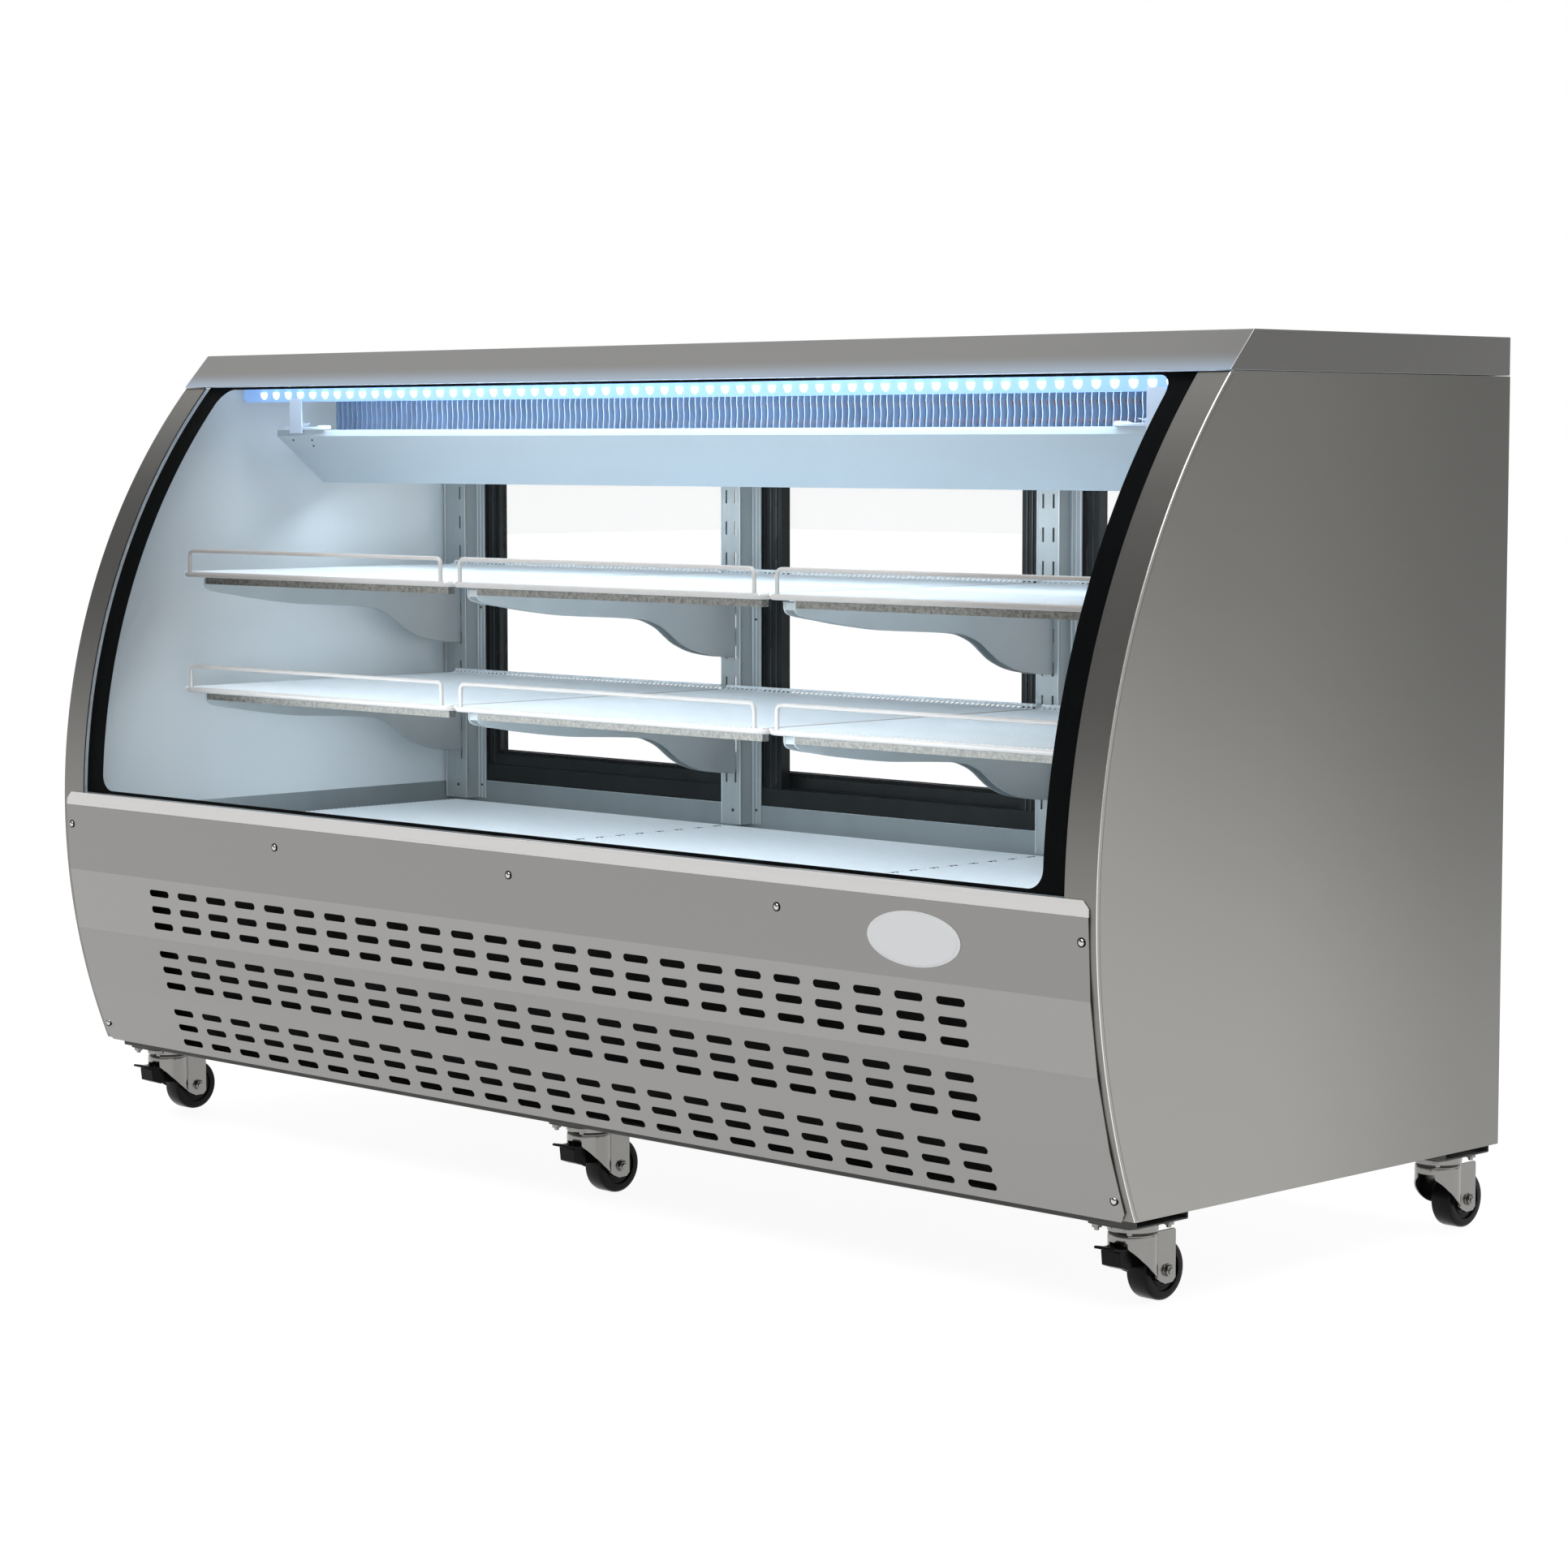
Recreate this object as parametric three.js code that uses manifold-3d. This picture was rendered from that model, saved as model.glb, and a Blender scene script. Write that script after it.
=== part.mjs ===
// Refrigerated deli display case with a curved glass front, on six casters.
// Millimetres. +X runs along the case, -Y faces the customer, +Z is up and the floor is z = 0.
// The pieces are drawn with y = 430 at the cabinet's back and are centred on the footprint at the end.
import * as THREE from "three";
import { mergeVertices } from "three/addons/utils/BufferGeometryUtils.js";
import Module from "manifold-3d";

const wasm = await Module();
wasm.setup();

// ---- Driving dimensions -------------------------------------------------------------------

// Cabinet envelope
const halfLength = 1025;
const backY = 430;
const capTopZ = 1160.4;
const capBottomZ = 1111.4;
const capFrontTopY = -98.2;
const capFrontBottomY = -143;
const sideBottomZ = 116.4;
const sideTopZ = 1110.6;

// The front of the case is one circular arc about an axis parallel to X
const arcY = 574.2;
const arcZ = 481.2;
const sideArcRadius = 952.3;
const glassArcRadius = 951.5;
const panelArcRadius = 955.6;
const wallArcRadius = 948;

// Sheet and wall thicknesses
const sideSheet = 2;
const stripWidth = 50;
const wallInnerX = 992;
const interiorHalf = 991.5;
const glassThickness = 6;
const panelSheet = 1.3;

// Lower front panel
const panelHalf = 1014;
const ledgeTop = [-379.6, 500.6];
const ledgeBottom = [-381, 480.8];
const creaseHeights = [383.4, 292.7, 201, 114.8];
const slotColumns = 24;
const slotPitch = 68.94;
const slotSize = [46, 9.6];
const slotRows = [361.2, 336.4, 311.6, 268.2, 244.2, 220.2, 178.4, 155, 131.4];

// Display well and rear doorway
const wellFloorZ = 430;
const deckTopZ = 448;
const sillTopZ = 477;
const frameFrontY = 372;
const frameBackY = 428;
const doorwayHalf = 936;
const doorwayBottomZ = 497.4;
const doorwayTopZ = 1085;
const doorBottomZ = 498;
const doorTopZ = 1084.4;
const doorDepth = 18;
const frontTrackY = 378;
const rearTrackY = 403;

// Shelving
const bayEdge = 317.5;
const endStandardX = 960;
const endSlotX = 948;
const slotOffset = 9.6;
const standardFrontY = 346;
const standardTopZ = 1085;
const shelfLevels = [["lower", 651.1], ["upper", 827]];
const shelfPitch = 632;
const shelfHalf = 314.5;
const shelfFrontY = -214;
const shelfBackY = 334;
const guardHeight = 39;
const guardHalf = 298;

// Casters
const casterXs = [["left", -964], ["mid", 0], ["right", 964]];
const frontAxisY = -236.5;
const rearAxisY = 384;
const casterTrail = 42;
const wheelRadius = 37.4;
const wheelHalfWidth = 15.6;
const railBottomZ = 103;
const railHalf = 1009;
const railWidth = 97.6;

// ---- Materials ----------------------------------------------------------------------------

function material(color, roughness, metalness) {
  return new THREE.MeshStandardMaterial({ color, roughness, metalness });
}

const stainless = material(0x9c9b97, 0.38, 1);
const glass = material(0xdfe8ea, 0.05, 0);
const whiteLiner = material(0xe6eef2, 0.45, 0);
const blackFrame = material(0x1b1f1f, 0.5, 0);
const greyMetal = material(0x8d9496, 0.4, 0.9);
const greyBracket = material(0x9ba4a6, 0.5, 0.2);
const whiteWire = material(0xe3e0dc, 0.4, 0);
const darkSteel = material(0x2b2b2b, 0.6, 0.6);
const lightWhite = material(0xf4f9ff, 0.3, 0);
const finAluminium = material(0x8fa3c4, 0.4, 0.9);
const zinc = material(0xa9a9a6, 0.28, 1);
const blackRubber = material(0x111111, 0.45, 0);
const blackPlastic = material(0x0d0d0d, 0.4, 0);

// ---- Solid helpers ------------------------------------------------------------------------

function signedVolume(positions, index) {
  const a = new THREE.Vector3();
  const b = new THREE.Vector3();
  const c = new THREE.Vector3();
  let total = 0;
  for (let i = 0; i < index.length; i += 3) {
    a.fromArray(positions, index[i] * 3);
    b.fromArray(positions, index[i + 1] * 3);
    c.fromArray(positions, index[i + 2] * 3);
    total += a.dot(b.cross(c));
  }
  return total / 6;
}

// A closed three.js geometry as a solid with its faces pointing out
function solid(geometry) {
  const bare = geometry.clone();
  bare.deleteAttribute("normal");
  bare.deleteAttribute("uv");
  const merged = mergeVertices(bare, 1e-4);
  const positions = merged.attributes.position.array;
  const index = Uint32Array.from(merged.index.array);
  if (signedVolume(positions, index) < 0) {
    for (let i = 0; i < index.length; i += 3) {
      [index[i + 1], index[i + 2]] = [index[i + 2], index[i + 1]];
    }
  }
  const mesh = new wasm.Mesh({
    numProp: 3,
    vertProperties: Float32Array.from(positions),
    triVerts: index,
  });
  return new wasm.Manifold(mesh);
}

function join(list) {
  return list.reduce((sum, piece) => sum.add(piece));
}

function box(x0, x1, y0, y1, z0, z1) {
  const geometry = new THREE.BoxGeometry(x1 - x0, y1 - y0, z1 - z0);
  geometry.translate((x0 + x1) / 2, (y0 + y1) / 2, (z0 + z1) / 2);
  return solid(geometry);
}

function shapeOf(points) {
  return new THREE.Shape(points.map(([a, b]) => new THREE.Vector2(a, b)));
}

// An outline of [y, z] points swept from x0 to x1
function alongX(points, x0, x1) {
  const geometry = new THREE.ExtrudeGeometry(shapeOf(points), { depth: x1 - x0, bevelEnabled: false });
  const turn = new THREE.Matrix4().set(0, 0, 1, 0, 1, 0, 0, 0, 0, 1, 0, 0, 0, 0, 0, 1);
  geometry.applyMatrix4(turn);
  geometry.translate(x0, 0, 0);
  return solid(geometry);
}

// An outline of [x, z] points swept from y0 to y1
function alongY(points, y0, y1) {
  const geometry = new THREE.ExtrudeGeometry(shapeOf(points), { depth: y1 - y0, bevelEnabled: false });
  geometry.rotateX(Math.PI / 2);
  geometry.translate(0, y1, 0);
  return solid(geometry);
}

// A round solid: [radius, height] points about the Z axis
function turnedZ(profile, segments) {
  const points = profile.map(([r, h]) => new THREE.Vector2(r, h));
  const geometry = new THREE.LatheGeometry(points, segments);
  geometry.rotateX(Math.PI / 2);
  return solid(geometry);
}

function rod(radius, h0, h1, segments) {
  return turnedZ([[0, h0], [radius, h0], [radius, h1], [0, h1]], segments);
}

// The same round solids with their axis along X or Y
function turnedX(profile, segments) {
  return turnedZ(profile, segments).rotate([0, 90, 0]);
}

function turnedY(profile, segments) {
  return turnedZ(profile, segments).rotate([-90, 0, 0]);
}

function arcFront(z, radius) {
  return arcY - Math.sqrt(radius * radius - (z - arcZ) * (z - arcZ));
}

// Points along the front arc from one height to another
function arcPoints(radius, z0, z1, steps) {
  const points = [];
  for (let i = 0; i <= steps; i += 1) {
    const z = z0 + ((z1 - z0) * i) / steps;
    points.push([arcFront(z, radius), z]);
  }
  return points;
}

function arcBand(outer, inner, z0, z1, steps) {
  return [...arcPoints(outer, z0, z1, steps), ...arcPoints(inner, z1, z0, steps)];
}

// ---- Scene assembly -----------------------------------------------------------------------

const deliCase = new THREE.Group();

function addPart(name, shape, look) {
  const { vertProperties, triVerts } = shape.getMesh();
  const geometry = new THREE.BufferGeometry();
  geometry.setAttribute("position", new THREE.BufferAttribute(vertProperties, 3));
  geometry.setIndex(new THREE.BufferAttribute(triVerts, 1));
  geometry.computeVertexNormals();
  const mesh = new THREE.Mesh(geometry, look);
  mesh.name = name;
  deliCase.add(mesh);
}

// ---- Cabinet ------------------------------------------------------------------------------

// Stainless end panel with a narrow strip returned along the curved front edge
function sidePanel() {
  const outline = [
    ...arcPoints(sideArcRadius, sideBottomZ, sideTopZ, 20),
    [backY, sideTopZ],
    [backY, sideBottomZ],
  ];
  const sheet = alongX(outline, halfLength - sideSheet, halfLength);
  const band = arcBand(sideArcRadius, sideArcRadius - 2, sideBottomZ, sideTopZ, 20);
  const strip = alongX(band, halfLength - stripWidth, halfLength - sideSheet + 0.5);
  return sheet.add(strip);
}

// Insulated end wall behind the side panel, with a low skirt at the deck
function endWall() {
  const z0 = sideBottomZ + 0.2;
  const z1 = sideTopZ - 0.6;
  const outline = [
    ...arcPoints(wallArcRadius, z0, z1, 20),
    [frameBackY, z1],
    [frameBackY, z0],
  ];
  const slab = alongX(outline, wallInnerX, halfLength - sideSheet - 0.4);
  const skirt = box(wallInnerX - 2, wallInnerX + 1, -300, 340, deckTopZ - 6, sillTopZ - 2);
  return slab.add(skirt);
}

const rightSide = sidePanel();
const rightWall = endWall();
addPart("side_panel_right", rightSide, stainless);
addPart("side_panel_left", rightSide.mirror([1, 0, 0]), stainless);
addPart("end_wall_right", rightWall, whiteLiner);
addPart("end_wall_left", rightWall.mirror([1, 0, 0]), whiteLiner);

const capOutline = [
  [capFrontTopY, capTopZ],
  [capFrontBottomY, capBottomZ],
  [backY, capBottomZ],
  [backY, capTopZ],
];
// Point on the cap's sloping front at a height, moved back by an inset
function capFront(z, inset) {
  const lean = (capFrontTopY - capFrontBottomY) / (capTopZ - capBottomZ);
  return [capFrontBottomY + lean * (z - capBottomZ) + inset, z];
}

// Sheet roof cap, open below, over the insulated ceiling that fills it
function roofCap() {
  const hollow = [
    capFront(capTopZ - 1.5, 2),
    capFront(capBottomZ - 5, 2),
    [backY - 1.5, capBottomZ - 5],
    [backY - 1.5, capTopZ - 1.5],
  ];
  const outer = alongX(capOutline, -halfLength, halfLength);
  return outer.subtract(alongX(hollow, -halfLength + 1.5, halfLength - 1.5));
}
const ceilingOutline = [
  capFront(capTopZ - 2.2, 3),
  capFront(capBottomZ + 0.2, 3),
  [backY - 2.2, capBottomZ + 0.2],
  [backY - 2.2, capTopZ - 2.2],
];
addPart("top_cap", roofCap(), stainless);
addPart("ceiling", alongX(ceilingOutline, -halfLength + 2.2, halfLength - 2.2), whiteLiner);

const glassBand = arcBand(glassArcRadius, glassArcRadius - glassThickness, 501.4, 1110.8, 24);
const glassHalf = halfLength - stripWidth - 0.6;
addPart("front_glass", alongX(glassBand, -glassHalf, glassHalf), glass);

// ---- Lower front panel --------------------------------------------------------------------

const creases = creaseHeights.map((z) => [arcFront(z, panelArcRadius), z]);
const panelFace = [ledgeTop, ledgeBottom, ...creases];

// Front surface position and lean of the panel at a height
function panelAt(z) {
  for (let i = 0; i + 1 < panelFace.length; i += 1) {
    const [yTop, zTop] = panelFace[i];
    const [yLow, zLow] = panelFace[i + 1];
    if (z <= zTop && z >= zLow) {
      const share = (zTop - z) / (zTop - zLow);
      return { y: yTop + share * (yLow - yTop), lean: Math.atan2(yLow - yTop, zTop - zLow) };
    }
  }
  throw new Error("height is off the panel");
}

// Folded face sheet, trimmed at its four corners
function foldedSheet() {
  const back = panelFace.map(([y, z]) => [y + panelSheet, z]).reverse();
  const face = alongX([...panelFace, ...back], -panelHalf, panelHalf);
  const top = ledgeTop[1] + 1;
  const low = creaseHeights[3] - 1;
  const trim = [
    [-1004, top], [1004, top], [panelHalf + 0.5, 491], [panelHalf + 0.5, 126],
    [1005.6, low], [-1005.6, low], [-panelHalf - 0.5, 126], [-panelHalf - 0.5, 491],
  ];
  return face.intersect(alongY(trim, -420, -250));
}

// Narrow folds that run back from the top and bottom edges
function panelReturns() {
  const half = halfLength - stripWidth - 1.5;
  const [yTop, zTop] = ledgeTop;
  const [yLow, zLow] = panelFace[panelFace.length - 1];
  const upper = box(-half, half, yTop + 0.2, yTop + 28, zTop - 1.2, zTop);
  const lower = box(-half, half, yLow + 0.4, yLow + 21.6, zLow, zLow + 1.2);
  return upper.add(lower);
}

function louvreSlots() {
  const [width, height] = slotSize;
  const slots = [];
  for (const z of slotRows) {
    const { y, lean } = panelAt(z);
    for (let column = 0; column < slotColumns; column += 1) {
      const x = (column - (slotColumns - 1) / 2) * slotPitch;
      const geometry = new THREE.BoxGeometry(width, 16, height);
      geometry.rotateX(lean);
      geometry.translate(x, y, z);
      slots.push(solid(geometry));
    }
  }
  return wasm.Manifold.union(slots);
}

function panScrew(x, z) {
  const { y, lean } = panelAt(z);
  const head = turnedY([[0, -2.9], [2.6, -2.4], [5, -1], [5.2, 0], [5.2, 0.8], [0, 0.8]], 10);
  return head.rotate([(lean * 180) / Math.PI, 0, 0]).translate([x, y, z]);
}

// Blank oval plate at the right of the top facet
function ovalPlate() {
  const centre = [737.7, 432];
  const { y, lean } = panelAt(centre[1]);
  const points = [];
  for (let i = 0; i < 24; i += 1) {
    const angle = (i * Math.PI) / 12;
    points.push([76.5 * Math.cos(angle), 34 * Math.sin(angle)]);
  }
  const plate = alongY(points, -1.6, 0.6);
  return plate.rotate([(lean * 180) / Math.PI, 0, 0]).translate([centre[0], y, centre[1]]);
}

function frontPanel() {
  const screws = [-1003, -506, 0, 506, 1003].map((x) => panScrew(x, 451.7));
  screws.push(panScrew(-1003, 141.5), panScrew(1003, 141.5));
  return join([foldedSheet(), panelReturns(), ovalPlate(), ...screws]).subtract(louvreSlots());
}

addPart("front_panel", frontPanel(), stainless);

// ---- Well, deck and machine compartment ---------------------------------------------------

const tubOutline = [
  [-367, 498.6], [-367, 396], [frameBackY, 396], [frameBackY, sillTopZ],
  [frameFrontY - 0.5, sillTopZ], [frameFrontY - 0.5, wellFloorZ], [-326, wellFloorZ], [-346, 498.6],
];
addPart("insulated_tub", alongX(tubOutline, -interiorHalf, interiorHalf), whiteLiner);

// Deck racks in three sections, parted by narrow gaps that stop above the well floor
function deckRack() {
  const reach = 1.5 * shelfPitch - 0.6;
  const slab = box(-reach, reach, -300, 330, wellFloorZ + 0.4, deckTopZ);
  const gaps = [-shelfPitch / 2, shelfPitch / 2].map((x) => box(x - 0.6, x + 0.6, -310, 340, deckTopZ - 10, deckTopZ + 2));
  return slab.subtract(join(gaps));
}
addPart("deck_rack", deckRack(), whiteWire);

// Louvred rear service panel with a rocker opening and a cord gland
const rockerX = 860;
const rockerZ = 300;
function rearPanel() {
  const sheet = box(-interiorHalf, interiorHalf, 425.6, 428, 119.8, 395.4);
  const cuts = [];
  for (const x of [-600, -200, 200, 600]) {
    for (let row = 0; row < 5; row += 1) {
      cuts.push(box(x - 130, x + 130, 420, 436, 170 + row * 34, 180 + row * 34));
    }
  }
  cuts.push(box(rockerX - 11.5, rockerX + 11.5, 420, 436, rockerZ - 16, rockerZ + 16));
  const gland = turnedY([[5, -3], [13, -3], [13, 2], [9, 2], [9, 5.6], [5, 5.6], [5, -3]], 16);
  const bezel = box(rockerX - 17, rockerX + 17, 426, 429.6, rockerZ - 22, rockerZ + 22);
  return sheet
    .add(bezel)
    .subtract(join(cuts))
    .subtract(turnedY([[0, -9], [5, -9], [5, 9], [0, 9]], 16).translate([-880, 427, 160]))
    .add(gland.translate([-880, 427, 160]));
}
addPart("rear_panel", rearPanel(), stainless);

// Rocker that turns on a pin along X in the bezel
function rocker() {
  const outline = [
    [419, rockerZ - 10], [430.6, rockerZ - 14.4], [429.4, rockerZ], [431.6, rockerZ + 14.4],
    [419, rockerZ + 10],
  ];
  return alongX(outline, rockerX - 10.8, rockerX + 10.8);
}
addPart("light_switch", rocker(), blackPlastic);

// Hermetic compressor can on a foot plate
function compressor() {
  const can = turnedZ([[0, 132], [78, 132], [92, 150], [96, 210], [96, 250], [84, 296], [40, 318], [0, 320]], 20);
  const feet = box(-120, 120, -80, 80, 119.6, 133);
  const stub = rod(8, 316, 345, 10).translate([40, 0, 0]);
  return join([can, feet, stub]).translate([520, 120, 0]);
}
addPart("compressor", compressor(), blackPlastic);

// Finned condenser with its fan shroud and motor
const fanX = 170;
function condenser() {
  const block = box(fanX - 60, fanX, -60, 290, 119.6, 372);
  const shroud = box(fanX - 0.5, fanX + 4, -60, 290, 119.6, 372);
  const hole = turnedX([[0, -12], [118, -12], [118, 12], [0, 12]], 24).translate([fanX + 8, 115, 246]);
  const ring = shroud.subtract(hole);
  const arm = box(fanX + 36, fanX + 42, -40, 270, 240, 252);
  const legs = join([
    box(fanX + 3, fanX + 42, -40, -30, 240, 252),
    box(fanX + 3, fanX + 42, 260, 270, 240, 252),
  ]);
  const motor = turnedX([[0, 36], [30, 36], [30, 80], [0, 80]], 16).translate([fanX, 115, 246]);
  return join([block, ring, arm, legs, motor]);
}
addPart("condenser", condenser(), finAluminium);

function fanBlade() {
  const hub = turnedX([[0, 8], [22, 8], [22, 32], [0, 32]], 16);
  const blades = [];
  for (let i = 0; i < 5; i += 1) {
    const blade = new THREE.BoxGeometry(3, 48, 90);
    blade.rotateZ(0.42);
    blade.translate(20, 0, 62);
    blades.push(solid(blade).rotate([i * 72, 0, 0]));
  }
  return join([hub, ...blades]).translate([fanX, 115, 246]);
}
addPart("condenser_fan_blade", fanBlade(), blackPlastic);

// ---- Rear doorway -------------------------------------------------------------------------

function rectangle(x0, x1, z0, z1) {
  return [[x0, z0], [x1, z0], [x1, z1], [x0, z1]];
}

// Black surround with two tracks at the bottom and the top
function rearFrame() {
  const outer = alongY(rectangle(-interiorHalf, interiorHalf, sillTopZ + 0.4, sideTopZ), frameFrontY, frameBackY);
  const opening = alongY(rectangle(-doorwayHalf, doorwayHalf, doorwayBottomZ, doorwayTopZ), 360, 440);
  const ribs = [];
  for (const y of [frameFrontY, 398.2, frameBackY - 4]) {
    ribs.push(box(-doorwayHalf - 1, doorwayHalf + 1, y, y + 3.6, doorwayBottomZ - 1, doorwayBottomZ + 7));
    ribs.push(box(-doorwayHalf - 1, doorwayHalf + 1, y, y + 3.6, doorwayTopZ - 9, doorwayTopZ + 1));
  }
  return outer.subtract(opening).add(join(ribs));
}
addPart("rear_frame", rearFrame(), blackFrame);

const bottomRail = 26;
const topRail = 40;

// A sliding door: a framed pane, [x0, x1, left stile, right stile, track]
const doors = [
  ["left", -doorwayHalf + 0.6, -241, 42, 56, frontTrackY],
  ["middle", -362, 362, 56, 56, rearTrackY],
  ["right", 241, doorwayHalf - 0.6, 56, 42, frontTrackY],
];
for (const [side, x0, x1, leftStile, rightStile, y] of doors) {
  const pane = [x0 + leftStile, x1 - rightStile, doorBottomZ + bottomRail, doorTopZ - topRail];
  const outer = alongY(rectangle(x0, x1, doorBottomZ, doorTopZ), y, y + doorDepth);
  const hole = alongY(rectangle(...pane), y - 5, y + doorDepth + 5);
  addPart(`door_frame_${side}`, outer.subtract(hole), blackFrame);
  const inset = rectangle(pane[0] + 0.4, pane[1] - 0.4, pane[2] + 0.4, pane[3] - 0.4);
  addPart(`door_glass_${side}`, alongY(inset, y + 3, y + doorDepth - 3), glass);
}

// ---- Shelving -----------------------------------------------------------------------------

// Slotted hat-section standard: front face, two sides and two fixing flanges
function standard(centreX, faceHalf, slotXs, flanges) {
  const y = standardFrontY;
  const back = frameFrontY - 0.8;
  const z0 = deckTopZ + 0.6;
  const pieces = [box(centreX - faceHalf, centreX + faceHalf, y, y + 2, z0, standardTopZ)];
  for (const side of flanges) {
    const edge = centreX + side * faceHalf;
    const sideOuter = Math.min(edge, edge - side * 2);
    pieces.push(box(sideOuter, sideOuter + 2, y, back, z0, standardTopZ));
    const flangeLow = Math.min(edge - side, edge + side * 20);
    pieces.push(box(flangeLow, flangeLow + 21, back - 2, back, z0, standardTopZ));
  }
  const cuts = [];
  for (const x of slotXs) {
    for (let z = 512; z < standardTopZ - 30; z += 47) {
      cuts.push(box(x - 1.8, x + 1.8, y - 5, y + 7, z, z + 20));
    }
  }
  return join(pieces).subtract(join(cuts));
}

addPart("standard_1", standard(-endStandardX, 26, [-endSlotX], [1]), greyMetal);
addPart("standard_2", standard(-bayEdge, 21, [-bayEdge - slotOffset, -bayEdge + slotOffset], [-1, 1]), greyMetal);
addPart("standard_3", standard(bayEdge, 21, [bayEdge - slotOffset, bayEdge + slotOffset], [-1, 1]), greyMetal);
addPart("standard_4", standard(endStandardX, 26, [endSlotX], [-1]), greyMetal);

// Bracket side view: [y, drop below the shelf wires]
const bracketProfile = [
  [-168, 8], [-168, 17], [-163, 24], [-147, 29], [-74, 41], [0, 50.5], [110, 57.5], [157, 61.5],
  [180, 68], [199, 77], [217, 90], [235, 101.5], [267, 114], [311, 122], [345.4, 124], [345.4, 8],
];

function bracketPlate(x, shelfZ) {
  const outline = bracketProfile.map(([y, drop]) => [y, shelfZ - drop]);
  return alongX(outline, x - 1.4, x + 1.4);
}

// Brackets between two bays are a pair of plates tied by cross bars
for (const [level, shelfZ] of shelfLevels) {
  addPart(`bracket_${level}_1`, bracketPlate(-endSlotX, shelfZ), greyBracket);
  for (const [number, x] of [[2, -bayEdge], [3, bayEdge]]) {
    const plates = [bracketPlate(x - slotOffset, shelfZ), bracketPlate(x + slotOffset, shelfZ)];
    const tie = box(x - slotOffset, x + slotOffset, -120, -112, shelfZ - 26, shelfZ - 18);
    const rearTie = box(x - slotOffset, x + slotOffset, 320, 328, shelfZ - 70, shelfZ - 62);
    addPart(`bracket_${level}_${number}`, join([...plates, tie, rearTie]), greyBracket);
  }
  addPart(`bracket_${level}_4`, bracketPlate(endSlotX, shelfZ), greyBracket);
}

// Wire shelf: a thin deck with a thicker front wire and a low guard loop
function shelf(centreX, z) {
  const deck = box(centreX - shelfHalf, centreX + shelfHalf, shelfFrontY + 4, shelfBackY, z - 2.6, z + 2.6);
  const front = box(centreX - shelfHalf, centreX + shelfHalf, shelfFrontY, shelfFrontY + 8, z - 4, z + 4);
  const y = shelfFrontY + 1;
  const guard = [box(centreX - guardHalf, centreX + guardHalf, y, y + 6, z + guardHeight - 6, z + guardHeight)];
  for (const x of [centreX - guardHalf, centreX + guardHalf - 6]) {
    guard.push(box(x, x + 6, y, y + 6, z, z + guardHeight));
  }
  return join([deck, front, ...guard]);
}

for (const [level, shelfZ] of shelfLevels) {
  [-shelfPitch, 0, shelfPitch].forEach((x, i) => {
    addPart(`shelf_${level}_${i + 1}`, shelf(x, shelfZ), whiteWire);
  });
}

// ---- Cooling and light under the roof -----------------------------------------------------

// Drain pan whose sloping front shows behind the light
function drainPan() {
  const path = [[-62, 1046], [-62, 1036], [28, 965], [196, 965], [196, 1040]];
  const inner = [[193.6, 1040], [193.6, 967.4], [29, 967.4], [-59.6, 1037.2], [-59.6, 1046]];
  const trough = alongX([...path, ...inner], -899, 899);
  const end = alongX([[-61, 1036.4], [28, 966], [195, 966], [195, 1036.4]], 896.6, 899);
  return join([trough, end, end.mirror([1, 0, 0])]);
}
addPart("drain_pan", drainPan(), whiteLiner);

// Finned coil with return bends at its left end
function evaporator() {
  const block = box(-884, 884, 42, 122, 992, 1100);
  const bends = [];
  for (const [y, z] of [[56, 1080], [56, 1030], [106, 1055]]) {
    bends.push(box(-893, -883, y - 5, y + 5, z - 16, z + 16));
  }
  const hangers = [-500, 500].map((x) => box(x - 15, x + 15, 80, 84, 1099, 1111));
  return join([block, ...bends, ...hangers]);
}
addPart("evaporator_coil", evaporator(), finAluminium);

// Full-width light bar on two posts that clip over the pan's front lip
function lightBar() {
  const bar = box(-984, 984, -66, -54, 1090, 1111);
  const pieces = [bar];
  for (const side of [-1, 1]) {
    const x = side * 848.5;
    const foot = [x + side * 29, x - side * 67].sort((a, b) => a - b);
    pieces.push(box(x - 15, x + 15, -66, -63, 1040, 1091));
    pieces.push(box(foot[0], foot[1], -66, -50, 1046.4, 1052.6));
  }
  return join(pieces);
}
addPart("light_bar", lightBar(), lightWhite);

// ---- Base rails and casters ---------------------------------------------------------------

function hexagonZ(radius, z0, z1) {
  return rod(radius, z0, z1, 6);
}

// Hollow rail with three caster plates, their nuts and the upper race of each swivel
function baseRail(axisY) {
  const y0 = axisY - railWidth / 2;
  const y1 = axisY + railWidth / 2;
  const top = 116;
  const pieces = [
    box(-railHalf, railHalf, y0, y1, railBottomZ, railBottomZ + 2),
    box(-railHalf, railHalf, y0, y0 + 2, railBottomZ, top),
    box(-railHalf, railHalf, y1 - 2, y1, railBottomZ, top),
    box(-railHalf, railHalf, y0, y1, top - 2, top),
  ];
  for (const [, x] of casterXs) {
    const plate = box(x - 35, x + 35, axisY - 46.5, axisY + 46.5, railBottomZ - 2.8, railBottomZ + 0.5);
    const race = rod(31, 90, railBottomZ - 2, 16).translate([x, axisY, 0]);
    pieces.push(plate, race);
    for (const dx of [-25.4, 25.4]) {
      for (const dy of [-36.5, 36.5]) {
        const nut = hexagonZ(6.6, 95, 101).add(rod(3.2, 91.4, 96, 6));
        pieces.push(nut.translate([x + dx, axisY + dy, 0]));
      }
    }
  }
  return join(pieces);
}
const baseTray = box(-interiorHalf, interiorHalf, -280, 425, 115.8, 118.8);
addPart("base_frame", join([baseRail(frontAxisY), baseRail(rearAxisY), baseTray]), darkSteel);

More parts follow.
